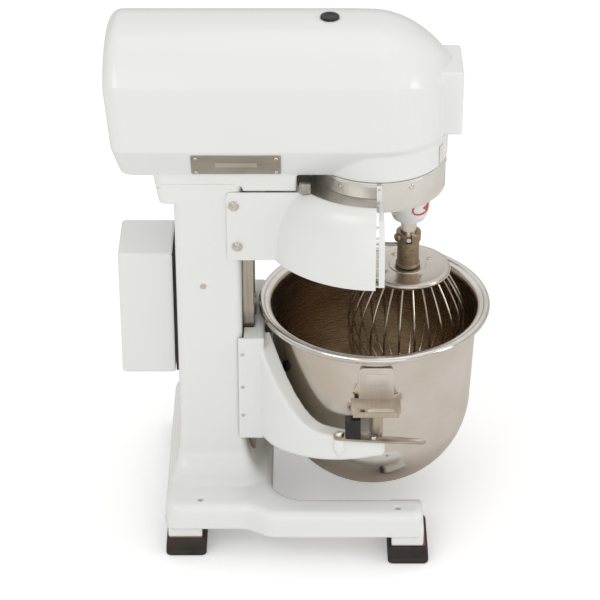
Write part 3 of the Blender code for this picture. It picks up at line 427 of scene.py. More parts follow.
def prism(outline, low, high, axis="Z"):
    place = {
        "Z": lambda a, b, t: (a, b, t),
        "X": lambda a, b, t: (t, a, b),
        "Y": lambda a, b, t: (a, t, b),
    }[axis]
    return loft([[place(a, b, t) for a, b in outline] for t in (low, high)])


def box(low, high, bevel=0.0, segments=3):
    outline = [(low[0], low[1]), (high[0], low[1]), (high[0], high[1]), (low[0], high[1])]
    mesh = prism(outline, low[2], high[2])
    return softened(mesh, bevel, segments) if bevel else mesh


def softened(mesh, width, segments=3, angle=30):
    """Rounds the edges that turn by more than angle degrees."""
    bmesh.ops.recalc_face_normals(mesh, faces=mesh.faces)
    sharp = [edge for edge in mesh.edges if edge.calc_face_angle(0) > radians(angle)]
    bmesh.ops.bevel(mesh, geom=sharp, offset=width, segments=segments, profile=0.5, affect="EDGES")
    return mesh


def rounded_outline(corners, radii, steps=8):
    points = []
    count = len(corners)
    for i, corner in enumerate(corners):
        here = Vector(corner)
        back = (Vector(corners[i - 1]) - here).normalized()
        ahead = (Vector(corners[(i + 1) % count]) - here).normalized()
        half = back.angle(ahead) / 2
        reach = radii[i] / tan(half)
        centre = here + (back + ahead).normalized() * radii[i] / sin(half)
        start = here + back * reach - centre
        turn = start.angle_signed(here + ahead * reach - centre)
        for k in range(steps + 1):
            arm = start.copy()
            arm.rotate(Matrix.Rotation(-turn * k / steps, 2))
            points.append(tuple(centre + arm))
    return points


def inset_outline(outline, distance):
    moved_points = []
    count = len(outline)
    for i in range(count):
        here = Vector(outline[i])
        before = (here - Vector(outline[i - 1])).normalized()
        after = (Vector(outline[(i + 1) % count]) - here).normalized()
        normal_a = Vector((-before.y, before.x))
        normal_b = Vector((-after.y, after.x))
        middle = (normal_a + normal_b).normalized()
        moved_points.append(tuple(here + middle * distance / max(middle.dot(normal_a), 0.5)))
    return moved_points


def turned(profile, steps, closed=False, start=0.0, sweep_angle=TAU, looks=None):
    """Turns (radius, z) points about Z; looks gives a material index for each span of the profile."""
    mesh = bmesh.new()
    full = abs(sweep_angle - TAU) < 1e-9
    columns = steps if full else steps + 1
    poles = {}
    grid = []
    for c in range(columns):
        angle = start + sweep_angle * c / steps
        column = []
        for i, (radius, z) in enumerate(profile):
            if radius == 0:
                if i not in poles:
                    poles[i] = mesh.verts.new((0, 0, z))
                column.append(poles[i])
            else:
                column.append(mesh.verts.new((radius * cos(angle), radius * sin(angle), z)))
        grid.append(column)
    spans = [(i, i + 1) for i in range(len(profile) - 1)]
    if closed:
        spans.append((len(profile) - 1, 0))
    for c in range(columns if full else columns - 1):
        d = (c + 1) % columns
        for i, j in spans:
            corners = list(dict.fromkeys((grid[c][i], grid[d][i], grid[d][j], grid[c][j])))
            if len(corners) > 2:
                face = mesh.faces.new(corners)
                face.material_index = looks[i] if looks else 0
    if not full:
        mesh.faces.new(grid[0][::-1])
        mesh.faces.new(grid[-1])
    return mesh


def shifted(mesh, offset=(0, 0, 0), axis="Z"):
    lay = {
        "Z": Matrix.Identity(4),
        "X": Matrix.Rotation(pi / 2, 4, "Y"),
        "Y": Matrix.Rotation(-pi / 2, 4, "X"),
    }[axis]
    bmesh.ops.transform(mesh, matrix=Matrix.Translation(offset) @ lay, verts=mesh.verts)
    return mesh


def placed(mesh, location, outwards):
    """Stands a piece made about +Z on a surface, pointing outwards."""
    turn = Vector(outwards).to_track_quat("Z", "Y").to_matrix().to_4x4()
    bmesh.ops.transform(mesh, matrix=Matrix.Translation(location) @ turn, verts=mesh.verts)
    return mesh


def rod(radius, low, high, steps=32, offset=(0, 0, 0), axis="Z"):
    return shifted(turned([(0, low), (radius, low), (radius, high), (0, high)], steps), offset, axis)


def sweep(path, radius, sides=10, closed=False):
    points = [Vector(p) for p in path]
    count = len(points)
    rows = []
    side = None
    for i, point in enumerate(points):
        before = points[i - 1] if closed or i > 0 else point
        after = points[(i + 1) % count] if closed or i < count - 1 else point
        along = (after - before).normalized()
        if side is None:
            side = along.orthogonal().normalized()
        side = (side - along * side.dot(along)).normalized()
        up = along.cross(side)
        rows.append([
            point + radius * (cos(TAU * k / sides) * side + sin(TAU * k / sides) * up)
            for k in range(sides)
        ])
    return loft(rows, closed)


def arc(radius, start, end, steps, centre=(0.0, 0.0)):
    """Points of an arc, angles in degrees."""
    return [(centre[0] + radius * cos(radians(start + (end - start) * k / steps)),
             centre[1] + radius * sin(radians(start + (end - start) * k / steps)))
            for k in range(steps + 1)]


def screw_head(radius, height, washer=0.0):
    """A button head with a socket, on a washer if that is wider."""
    socket = radius * 0.42
    profile = [(0, height * 0.25), (socket * 0.9, height * 0.3), (socket, height * 0.92),
               (radius * 0.62, height), (radius * 0.9, height * 0.72), (radius, height * 0.3), (radius, 0)]
    if washer:
        profile += [(washer * 0.97, 0), (washer, -height * 0.08), (washer, -height * 0.3)]
    profile.append((0, profile[-1][1]))
    return turned(profile, 28)


# Pedestal

def column_ring(z, sideways, front, rear, radius=0.01):
    corners = [(rear, -sideways), (front, -sideways), (front, sideways), (rear, sideways)]
    return [(x, y, z) for x, y in rounded_outline(corners, [radius] * 4, 5)]


def flare(z, top, reach, power):
    share = min(max((top - z) / (top - LEG_TOP), 0.0), 1.0)
    return reach * (1 - sqrt(1 - share ** power))


def make_pedestal():
    corners = [(-0.204, -REAR_HALF), (-0.083, -REAR_HALF), (-0.05, -FRONT_HALF), (0.177, -FRONT_HALF),
               (0.177, -0.15), (-0.045, -0.15)]
    radii = [0.022, 0.03, 0.03, 0.018, 0.018, 0.05]
    outline = rounded_outline(corners + [(x, -y) for x, y in reversed(corners)], radii + radii[::-1])
    edge = 0.0125
    levels = [(LEG_BOTTOM, 0.0)]
    for k in range(7):
        angle = pi / 2 * k / 6
        levels.append((LEG_TOP - edge + edge * sin(angle), 0.002 + edge * (1 - cos(angle))))
    body = loft([[(x, y, z) for x, y in inset_outline(outline, inset)] for z, inset in levels])
    sections = []
    for k in range(25):
        z = 0.06 + (0.197 - 0.06) * (k / 24) ** 1.3 if k < 24 else SEAM_Z - 0.012
        sideways = COLUMN_HALF + flare(z, 0.125, 0.054, 2.0)
        front = COLUMN_FRONT + flare(z, 0.197, 0.033, 3.0)
        rear = COLUMN_REAR - flare(z, 0.197, 0.016, 3.0)
        sections.append(column_ring(z, sideways, front, rear, 0.01 + (sideways - COLUMN_HALF) * 0.4))
    neck = [column_ring(0.537, NECK_HALF, -0.0875, -0.2025),
            column_ring(SEAM_Z, NECK_HALF, NECK_FRONT, NECK_REAR)]
    steps = [join(loft(sections)), join(loft(neck))]
    for side in (-1, 1):
        for low, high in (((-0.199, 0.101), (-0.149, 0.1745)), ((0.129, 0.118), (0.176, 0.196))):
            ys = span(side, low[1], high[1])
            pad = box((low[0], ys[0], FOOT_TOP + 0.0005), (high[0], ys[1], LEG_BOTTOM + 0.012))
            steps.append(join(pad))
        for x, y in ((-0.151, 0.158), (0.138, 0.179)):
            steps.append(cut(rod(0.004, 0.02, 0.12, 24, (x, side * y, 0))))
    wall = 0.01
    inner_front, inner_rear, inner_half = COLUMN_FRONT - wall, COLUMN_REAR + wall, COLUMN_HALF - wall
    steps += [
        cut(box((inner_rear, -inner_half, 0.03), (inner_front, inner_half, 0.6))),
        cut(box((-0.0879, -0.0465, 0.0997), (-0.02, 0.0465, 0.215))),
        cut(box((inner_front - 0.01, -0.0215, 0.262), (-0.05, 0.0215, 0.358))),
        cut(rod(0.0085, -0.0755, 0.12, 24, (LIFT_X, 0, LIFT_Z), "Y")),
        cut(box((-0.2, -0.012, 0.33), (-0.165, 0.012, 0.354))),
    ]
    cast_finish(add_piece("pedestal_body", carve(body, steps), "white", ["pedestal_casting"]))
    screw = placed(screw_head(0.0026, 0.0014, 0.0048), (-0.143, -COLUMN_HALF - 0.0004, 0.404), (0, -1, 0))
    add_piece("column_cover_screw", screw, "screw")
    bolt = shifted(turned([(0, -0.006), (0.0062, -0.006), (0.0066, -0.005), (0.0066, 0.002), (0, 0.002)], 6),
                   (-0.19, -0.055, 0.5355))
    add_piece("neck_flange_bolt", bolt, "white")


def make_feet():
    for name in ("foot_rear_left", "foot_rear_right", "foot_front_left", "foot_front_right"):
        low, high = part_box(name)
        corners = [(low.x, low.y), (high.x, low.y), (high.x, high.y), (low.x, high.y)]
        outline = rounded_outline(corners, [0.008] * 4)
        top = high.z
        levels = [(0, 0.0012), (0.0012, 0.0002), (0.004, 0.0), (0.01, 0.0003), (0.0106, 0.0009),
                  (0.0112, 0.0003), (top - 0.0045, 0.0014), (top - 0.0016, 0.0022), (top - 0.0004, 0.0034),
                  (top, 0.0052)]
        boot = loft([[(x, y, z) for x, y in inset_outline(outline, inset)] for z, inset in levels])
        add_piece(name + "_boot", boot, "rubber", [name], sharp=50)
        lip = prism(inset_outline(outline, 0.005), top + 0.0003, top + 0.0013)
        add_piece(name + "_paint_edge", lip, "primer")


# Head

def rear_x(z):
    for (z0, x0), (z1, x1) in zip(HEAD_REAR, HEAD_REAR[1:]):
        if z <= z1:
            return x0 + (x1 - x0) * (z - z0) / (z1 - z0)
    return HEAD_REAR[-1][1]


def head_section(half, top, bottom, crease):
    left = [(-0.71 * half, bottom), (-half, HEAD_CHAMFER_TOP), (-half, crease)]
    arch = []
    for k in range(1, 32):
        share = -1 + k / 16
        arch.append((half * share, crease + (top - crease) * (1 - abs(share) ** 2.6)))
    return left + arch + [(-y, z) for y, z in reversed(left)]


def head_solid(wall):
    half = HEAD_HALF - wall
    bottom = HEAD_FLOOR + (wall and 0.01)
    along, sideways, upwards = HEAD_REAR_CORNER
    rows = []
    for degrees in range(0, 91, 9):
        angle = radians(degrees)
        pinch = 1 - sin(angle)
        section = head_section(half - sideways * pinch, HEAD_TOP - wall - upwards * pinch, bottom,
                               HEAD_CREASE - 0.35 * upwards * pinch)
        rows.append([(rear_x(z) + wall + along * (1 - cos(angle)), y, z) for y, z in section])
    for x in (-0.12, 0.07):
        rows.append([(x, y, z) for y, z in head_section(half, HEAD_TOP - wall, bottom, HEAD_CREASE)])
    for degrees in (0, 8, 16, 24, 32, 40, 48, 55, 62, 68, 74, 79, 84):
        angle = radians(degrees)
        x = BOWL_X + (NOSE_RADIUS - wall) * sin(angle)
        drop = 0.04 * max((x - 0.085) / 0.1, 0.0) ** 2.2
        section = head_section(half * cos(angle), HEAD_TOP - wall - drop, bottom,
                               HEAD_CREASE - 0.35 * drop)
        rows.append([(x, y, z) for y, z in section])
    return loft(rows, across=True)


def make_head():
    flange = [column_ring(SEAM_Z + 0.0004, NECK_HALF, NECK_FRONT, NECK_REAR),
              column_ring(0.597, 0.07, -0.06, -0.213)]
    skirt = [column_ring(GUARD_TOP + 0.0005, 0.08, -0.0095, -0.086, 0.003),
             column_ring(HEAD_FLOOR + 0.003, 0.0755, -0.0095, -0.0857, 0.003)]
    steps = [
        join(rod(COLLAR_RADIUS, HEAD_FLOOR - 0.0002, 0.7, 96, (BOWL_X, 0, 0))),
        join(box((0.15, -0.048, 0.629), (HUB_FRONT, 0.048, 0.7235), 0.003)),
        join(loft(flange)),
        join(loft(skirt)),
        cut(head_solid(HEAD_WALL)),
        cut(box((-0.172, -0.06, 0.55), (-0.0985, 0.06, 0.6))),
        cut(rod(0.016, 0.17, 0.23, 40, (0, 0, DRIVE_Z), "X")),
        cut(rod(0.0115, 0.76, 0.8, 32, (0.036, 0, 0))),
        cut(rod(0.0078, 0.08, 0.12, 24, (0, 0, SHIFT_Z), "Y")),
        cut(rod(0.0306, 0.55, 0.6, 48, (BOWL_X, 0, 0))),
    ]
    cast_finish(add_piece("head_body", carve(head_solid(0), steps), "white", ["head_casting"]))
    joint = [column_ring(z, 0.0796, -0.0874, -0.2046, 0.009) for z in (SEAM_Z - 0.006, SEAM_Z + 0.006)]
    add_piece("neck_joint_paint", loft(joint), "white")
    low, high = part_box("oil_plug")
    radius = (high.x - low.x) / 2
    plug = turned([(0, low.z), (radius * 0.8, low.z), (radius * 0.8, high.z - 0.0035),
                   (radius, high.z - 0.0035), (radius, high.z - 0.0012), (radius * 0.92, high.z - 0.0004),
                   (radius * 0.55, high.z - 0.0002), (radius * 0.5, high.z - 0.0012),
                   (0, high.z - 0.0012)], 40)
    add_piece("oil_filler_plug", shifted(plug, ((low.x + high.x) / 2, 0, 0)), "black", ["oil_plug"])
    cover = turned([(0, 0), (0.015, 0), (0.0156, 0.0006), (0.0156, 0.0015), (0.0148, 0.0021),
                    (0, 0.0024)], 40)
    add_piece("hub_bore_cap", placed(cover, (HUB_FRONT - 0.0045, 0, DRIVE_Z), (1, 0, 0)), "steel")
    screw = placed(screw_head(0.0055, 0.0036), (HUB_FRONT - 0.0045, 0.034, 0.645), (1, 0, 0))
    add_piece("hub_clamp_screw", screw, "screw")


def make_nameplate():
    """Brushed plate with a blank raised panel and four corner screws, on the head's lower chamfer."""
    low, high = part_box("nameplate")
    centre = (low + high) / 2
    slope = atan2(HEAD_HALF * 0.29, HEAD_CHAMFER_TOP - HEAD_FLOOR)
    stand = Matrix.Translation(centre) @ Matrix.Rotation(slope, 4, "X")
    half_x, half_z = 0.062, 0.023
    corners = [(-half_x, -half_z), (half_x, -half_z), (half_x, half_z), (-half_x, half_z)]
    plate = softened(prism(rounded_outline(corners, [0.002] * 4, 4), -0.0006, 0.0006, "Y"), 0.0002, 2)
    panel = softened(box((-0.029, -0.00085, -0.005), (0.029, -0.0005, 0.0058)), 0.00015, 2)
    whole = merge(plate, paint(panel, 1))
    for x in (-0.0555, 0.0555):
        for z in (-0.0175, 0.0175):
            screw = placed(screw_head(0.003, 0.0014), (x, -0.0006, z), (0, -1, 0))
            whole = merge(whole, paint(screw, 2))
    bmesh.ops.transform(whole, matrix=stand, verts=whole.verts)
    add_piece("nameplate_blank", whole, ["plate", "plate_label", "screw"], ["nameplate"])


def curved_patch(radius, angle, half_angle, low, high, thick):
    """A thin film wrapped round the nose, centred at an angle in degrees from +X."""
    rows = []
    for k in range(9):
        turn = radians(angle - half_angle + 2 * half_angle * k / 8)
        section = ((radius, low), (radius + thick, low), (radius + thick, high), (radius, high))
        rows.append([polar(BOWL_X, r, turn, z) for r, z in section])
    return loft(rows)


def make_nose_label():
    radius, angle = 0.0986, -26.6
    edge = curved_patch(radius, angle, 3.7, 0.5845, 0.6125, 0.0003)
    film = curved_patch(radius, angle, 3.2, 0.5857, 0.6113, 0.0005)
    add_piece("nose_label_edge", edge, "label_edge")
    add_piece("nose_label_film", film, "label")


# Planetary drive below the head

def make_drive():
    low, high = ring_low.z, ring_high.z
    outer, inner = RING_RADIUS, 0.0878
    profile = [(inner, low), (outer - 0.0015, low), (outer - 0.0004, low + 0.0004), (outer, low + 0.0015),
               (outer, high - 0.003), (outer - 0.001, high - 0.0024), (outer - 0.0012, high), (inner, high)]
    cover = shifted(turned(profile, 128, closed=True), (BOWL_X, 0, 0))
    add_piece("planet_ring_band", cover, "ring", ["planet_ring_cover"])
    for index, degrees in enumerate(range(-122, 238, 60)):
        turn = radians(degrees)
        out = Vector((cos(turn), sin(turn), 0))
        place = Vector((BOWL_X, 0, 0.569)) + out * (outer - 0.0008)
        screw = placed(screw_head(0.0046, 0.002, 0.0052), place, out)
        add_piece(f"ring_screw_{index}", screw, "screw")
    carrier_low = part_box("planet_carrier")[0].z
    profile = [(0, 0.666), (0.012, 0.666), (0.012, 0.582), (0.019, 0.58), (0.019, 0.547),
               (0.0865, 0.546), (0.087, 0.5455), (0.087, 0.535), (0.0864, 0.5345), (0, 0.5345)]
    plate = shifted(turned(profile, 96), (BOWL_X, 0, 0))
    top = 0.54
    boss = [(0, top), (0.0322, top), (0.0318, 0.53), (0.0312, 0.52), (0.0307, 0.51), (0.03, 0.5),
            (0.0288, 0.4905), (0.0268, 0.4825), (0.0248, 0.4775), (0.0228, carrier_low), (0, carrier_low)]
    boss_mesh = shifted(turned(boss, 72), (WHISK_X, 0, 0))
    bore = shifted(rod(0.0171, 0.4, 0.56, 40), (WHISK_X, 0, 0))
    body = carve(plate, [join(boss_mesh), cut(bore)])
    add_piece("planet_carrier_body", body, "white", ["planet_carrier"], "planetary")
    make_turn_arrow()


def boss_radius(z):
    """Radius of the boss, which narrows faster below its waist."""
    return 0.03 + (0.06 if z > 0.5 else 0.126) * (z - 0.5)


def make_turn_arrow():
    """A plain red loop with an arrowhead on the boss, for the direction of turning."""
    middle_angle, middle_z = radians(-56), 0.4995
    wide, tall = radians(27), 0.0088

    def on_boss(across, up, lift):
        z = middle_z + up
        radius = boss_radius(z) + lift
        angle = middle_angle + across
        return polar(WHISK_X, radius, angle, z)

    path = []
    for k in range(41):
        turn = radians(35) + (TAU - radians(70)) * k / 40
        squared = abs(cos(turn)) ** 0.7 * copysign(1, cos(turn))
        path.append(on_boss(wide * squared, tall * sin(turn), 0.0003))
    loop = sweep(path, 0.0012, 8)
    points = [(0.05, 0.001), (0.46, 0.0074), (0.46, -0.0048), (0.28, -0.005)]
    tip = loft([[on_boss(a, b, lift) for a, b in points] for lift in (0.0002, 0.001)])
    add_piece("turn_arrow_mark", merge(loop, tip), "red_ink", body="planetary")


# Whisk

def whisk_path(angle, depth):
    side = []
    for k in range(12):
        share = 1 - k / 12
        side.append((WHISK_RADIUS - 0.036 * share ** 1.8, WHISK_WAIST_Z + 0.089 * share))
    for k in range(25):
        turn = pi / 2 * k / 24
        side.append((WHISK_RADIUS * cos(turn), WHISK_WAIST_Z - depth * sin(turn)))
    profile = side + [(-radius, z) for radius, z in side[-2::-1]]
    return [polar(WHISK_X, radius, angle, z) for radius, z in profile]


def make_whisk():
    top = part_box("whisk_cage")[1].z
    disc = [(0.01, top - 0.0004), (0.0215, top - 0.0004), (0.0228, top), (0.0262, top),
            (0.0275, top - 0.0012), (0.05, top - 0.0016), (0.053, top - 0.0008), (0.0555, top)]
    disc += arc(0.0048, 90, -90, 12, (0.0577, top - 0.0049))
    disc += [(0.053, top - 0.0097), (0.05, top - 0.006), (0.01, top - 0.006)]
    plate = shifted(turned(disc, 96, closed=True), (WHISK_X, 0, 0))
    pieces = [plate]
    for degrees in (31, 121, 211, 301):
        turn = radians(degrees)
        place = polar(WHISK_X, 0.037, turn, top - 0.0014)
        pieces.append(placed(screw_head(0.0038, 0.0014, 0.0048), place, (0, 0, 1)))
    add_piece("whisk_disc", merge(*pieces), "disc", ["whisk_cage"], "agitator")
    wires = []
    for k in range(WHISK_LOOPS):
        wires.append(sweep(whisk_path(pi * k / WHISK_LOOPS + 0.1, 0.14 - 0.0034 * k), WIRE_RADIUS, 8))
    add_piece("whisk_wires", merge(*wires), "wire", body="agitator")
    low, high = sleeve_low.z, sleeve_high.z
    body = 0.016
    hub = [(0.0118, low), (0.017, low), (0.0178, low + 0.0008), (0.0178, low + 0.0042),
           (0.017, low + 0.005), (0.0158, low + 0.0056), (0.0157, low + 0.0078), (body, low + 0.0084),
           (body, high - 0.015), (0.0176, high - 0.0138), (0.018, high - 0.013), (0.018, high - 0.0012),
           (0.0172, high), (0.0118, high)]
    tube = turned(hub, 72, closed=True)
    slots = []
    for side in (-1, 1):
        ys = span(side, 0.005, 0.03)
        slots.append(cut(box((-0.0045, ys[0], high - 0.0125), (0.0045, ys[1], high + 0.02))))
    lug = shifted(softened(rod(0.0062, 0.0145, 0.0215, 28), 0.0012, 2), (0, 0, high - 0.0062), "X")
    bmesh.ops.rotate(lug, verts=lug.verts, matrix=Matrix.Rotation(radians(-150), 3, "Z"))
    tube = shifted(carve(tube, slots), (WHISK_X, 0, 0))
    add_piece("whisk_sleeve_body", tube, "bronze", ["whisk_sleeve"], "agitator")
    add_piece("whisk_sleeve_boss", shifted(lug, (WHISK_X, 0, 0)), "bronze", body="agitator")
    pin = shifted(rod(0.0026, -0.036, -0.015, 20, axis="X"), (WHISK_X, 0, high - 0.0225))
    add_piece("whisk_locking_pin", softened(pin, 0.0006, 2), "steel", body="agitator")


# Bowl guard

def guard_radius(z):
    rise = min(max((z - GUARD_BOTTOM) / (GUARD_TOP - GUARD_BOTTOM), 0.0), 1.0)
    return GUARD_TOP_RADIUS + (GUARD_BOTTOM_RADIUS - GUARD_TOP_RADIUS) * sqrt(1 - rise * rise)


def make_guard():
    spread_out = GUARD_BOTTOM_RADIUS - GUARD_TOP_RADIUS
    height = GUARD_TOP - GUARD_BOTTOM
    turns = [pi / 2 * k / 24 for k in range(25)]
    outer = [(GUARD_TOP_RADIUS + spread_out * cos(t), GUARD_BOTTOM + height * sin(t)) for t in turns]
    inner = [(GUARD_TOP_RADIUS + (spread_out - GUARD_SHEET) * cos(t),
              GUARD_BOTTOM + (height - GUARD_SHEET) * sin(t)) for t in turns]
    profile = [(0.0988, 0.555)] + outer[::-1] + inner + [(0.0988, 0.5532)]
    # The flat top flange, the first span, takes the flange finish, which is painted shade.
    looks = [1] + [0] * len(profile)
    shell = turned(profile, 72, True, radians(91.5), radians(177), looks)
    shifted(shell, (BOWL_X, 0, 0))
    plate_steps = []
    low, high = GUARD_BOTTOM + 0.0015, GUARD_TOP - 0.0002
    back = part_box("guard_shell")[0].x
    for side in (-1, 1):
        edge = []
        for k in range(17):
            z = low + (high - low) * sin(pi / 2 * k / 16)
            wall = guard_radius(z) - 0.0012
            edge.append((BOWL_X - sqrt(wall ** 2 - (GUARD_PLATE_Y - 0.0008) ** 2), z))
        outline = [(back + 0.004, low), *edge, (back + 0.004, high), (back, high - 0.004),
                   (back, low + 0.004)]
        ys = span(side, GUARD_PLATE_Y - 0.0017, GUARD_PLATE_Y)
        plate_steps.append(join(prism(outline, ys[0], ys[1], "Y")))
    add_piece("guard_dome", carve(shell, plate_steps), ["white", "flange"], ["guard_shell"])
    for corner in ("upper_left", "upper_right", "lower_left", "lower_right"):
        low_corner, high_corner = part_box("guard_screw_" + corner)
        middle = (low_corner + high_corner) / 2
        side = -1 if "left" in corner else 1
        place = (middle.x, side * (GUARD_PLATE_Y + 0.0011), middle.z)
        bolt = placed(screw_head(0.0056, 0.003, 0.0078), place, (0, side, 0))
        add_piece(f"guard_bolt_{corner}", bolt, "screw", ["guard_screw_" + corner])
    low_corner, high_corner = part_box("guard_hinge_block")
    add_piece("guard_hinge_clip", box(low_corner, high_corner, 0.0014), "steel", ["guard_hinge_block"])


def make_wire_guard():
    first, sweep_angle = radians(88), radians(185)
    turns = [first + sweep_angle * k / 64 for k in range(65)]
    bars = []
    for k in range(7):
        z = 0.4502 + 0.0142 * k
        radius = guard_radius(z) - CAGE_INSET
        bars.append(sweep([polar(BOWL_X, radius, turn, z) for turn in turns], WIRE_RADIUS))
    profile = [(0.1065, 0.5497), (0.1062, 0.55), (0.1008, 0.55), (0.1005, 0.5497), (0.1005, 0.5443),
               (0.1008, 0.544), (0.1062, 0.544), (0.1065, 0.5443)]
    bars.append(shifted(turned(profile, 72, True, first, sweep_angle), (BOWL_X, 0, 0)))
    for share in (0.335, 0.665):
        angle = first + sweep_angle * share
        heights = (CAGE_BOTTOM, 0.462, 0.475, 0.488, 0.5, 0.51, 0.52, 0.528, 0.535, 0.5405, CAGE_TOP)
        path = [(guard_radius(z) - CAGE_INSET, z) for z in heights]
        path += [(0.129, 0.5456), (0.127, 0.5462), (0.1035, 0.5468)]
        bars.append(sweep([polar(BOWL_X, r, angle, z) for r, z in path], 0.0016))
    half = radians(1.5)
    for middle in (first + half, first + sweep_angle - half):
        bars.append(end_strip(middle, half))
    strap = [(0.103, 0.5776), (0.1026, 0.578), (0.1012, 0.578), (0.1008, 0.5776), (0.1008, 0.546),
             (0.103, 0.546)]
    strap_start = first + sweep_angle - radians(4.5)
    bars.append(shifted(turned(strap, 12, True, strap_start, radians(4)), (BOWL_X, 0, 0)))
    add_piece("wire_guard_cage", merge(*bars), "white", ["wire_guard"], "wire_guard")
    turn = first + sweep_angle - radians(2.5)
    out = Vector((cos(turn), sin(turn), 0))
    for index, z in enumerate((0.573, 0.553)):
        place = Vector((BOWL_X, 0, z)) + out * 0.1029
        rivet = placed(screw_head(0.002, 0.001), place, out)
        add_piece(f"strap_rivet_{index}", rivet, "screw", body="wire_guard")


def end_strip(angle, half):
    """The flat bar that closes the wire guard at one end."""
    rows = []
    for k in range(25):
        z = CAGE_BOTTOM + (CAGE_TOP - CAGE_BOTTOM) * k / 24
        radius = guard_radius(z) - CAGE_INSET
        corners = ((radius - 0.0016, -half), (radius + 0.0016, -half), (radius + 0.0016, half),
                   (radius - 0.0016, half))
        rows.append([polar(BOWL_X, r, angle + t, z) for r, t in corners])
    corners = ((0.5448, -half), (0.548, -half), (0.548, half), (0.5448, half))
    for radius in (0.127, 0.115, 0.105):
        rows.append([polar(BOWL_X, radius, angle + t, z) for z, t in corners])
    return loft(rows)


# Carriage

def arm_top(degrees):
    share = min(max((degrees - 13) / 52, 0.0), 1.0)
    return ARM_TOP + (YOKE_TOP - ARM_TOP) * 0.5 * (1 + cos(pi * share))


def arm_bottom(degrees):
    return 0.146 + 0.034 * min(max((degrees - 35) / 55, 0.0), 1.0) ** 1.2


def arm_solid(side):
    rows = []
    for k in range(38):
        degrees = 20 + 2 * k
        angle = radians(degrees)
        low, high = arm_bottom(degrees), arm_top(degrees)
        outer = YOKE_OUTER
        if k == 37:
            outer -= 0.003
            low += 0.003
        profile = [(YOKE_INNER, low)] + arc(0.01, -90, 0, 6, (outer - 0.01, low + 0.01))
        profile += arc(0.005, 0, 90, 5, (outer - 0.005, high - 0.005)) + [(YOKE_INNER, high)]
        rows.append([(BOWL_X - r * cos(angle), side * r * sin(angle), z) for r, z in profile])
    return loft(rows)


def make_yoke():
    plate = box((-0.0706, -0.0856, 0.145), (-0.0565, 0.0856, YOKE_TOP), 0.002)
    steps = [join(box((-0.0868, -0.0795, 0.197), (-0.069, 0.0795, 0.3185), 0.001))]
    for side in (-1, 1):
        ys = span(side, 0.0806, 0.0858)
        rail = span(side, 0.0297, 0.0463)
        latch = (LATCH_X, side * LATCH_Y, 0)
        boss = [(0, ARM_TOP - 0.0003), (0.0092, ARM_TOP - 0.0003), (0.0092, 0.193), (0.003, 0.178),
                (0, 0.178)]
        steps += [
            join(box((-0.095, ys[0], 0.1455), (-0.068, ys[1], 0.3188), 0.0012)),
            join(arm_solid(side)),
            join(shifted(turned(boss, 40), latch)),
            cut(box((-0.1, rail[0], 0.1), (-0.0713, rail[1], 0.4))),
            cut(rod(LATCH_BORE, 0.185, 0.24, 24, latch)),
            cut(rod(0.0074, 0.194, 0.24, 32, (BOWL_X, side * LUG_PIN_Y, 0))),
            cut(rod(0.0035, 0.17, 0.195, 20, (BOWL_X - 0.004, side * LUG_PIN_Y, 0))),
        ]
    steps += [
        cut(box((-0.1, -0.0158, 0.1), (-0.0702, 0.0158, 0.4))),
        cut(box((-0.1, -0.0505, 0.1), (-0.0713, -0.046, 0.4))),
    ]
    body = add_piece("yoke_body", carve(plate, steps), "white", ["carriage_yoke"], "carriage")
    cast_finish(body, FINE * 0.9, 4)
    for index, z in enumerate((0.292, 0.236, 0.187)):
        screw = placed(screw_head(0.003, 0.0012), (-0.0885, -0.0855, z), (0, -1, 0))
        add_piece(f"gib_screw_{index}", screw, "screw", body="carriage")


def make_bumpers():
    turn = radians(24)
    profile = [(0, -0.0047), (0.0085, -0.0047), (0.0085, 0.0026), (0.0078, 0.004), (0.006, 0.0047),
               (0, 0.0047)]
    for side, name in ((-1, "bowl_bumper_left"), (1, "bowl_bumper_right")):
        low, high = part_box(name)
        out = Vector((cos(turn), -side * sin(turn), 0))
        pad = placed(turned(profile, 40), (low + high) / 2, out)
        add_piece(name + "_pad", pad, "black", [name], "carriage")


# Bowl, lugs and latches

def make_bowl():
    def half_ball(radius):
        turns = [pi / 2 * k / 40 for k in range(41)]
        return [(radius * sin(t), BOWL_BALL_Z - radius * cos(t)) for t in turns]

    outer = half_ball(BOWL_BALL_RADIUS)
    inner = half_ball(BOWL_BALL_RADIUS - BOWL_WALL)
    roll = 0.0052
    rim = [(BOWL_TOP_RADIUS - 0.0004, 0.315), (BOWL_TOP_RADIUS, 0.3195), (0.1535, 0.3232), (0.159, 0.3256)]
    rim += arc(roll, -80, 150, 16, (BOWL_RIM_RADIUS - roll, BOWL_RIM_Z - roll - 0.0006))
    rim += [(0.1575, 0.3352), (0.153, 0.333), (0.1505, 0.328), (BOWL_TOP_RADIUS - BOWL_WALL, 0.321)]
    profile = outer + rim + inner[::-1]
    rim_start, rim_end = len(outer) + 2, len(outer) + len(rim) - 3
    looks = [0 if i < rim_start else 2 if i < rim_end else 1 for i in range(len(profile))]
    bowl = shifted(turned(profile, 144, looks=looks), (BOWL_X, 0, 0))
    add_piece("bowl_shell", bowl, ["bowl", "bowl_inside", "rim"], ["mixing_bowl"], "carriage", sharp=60)


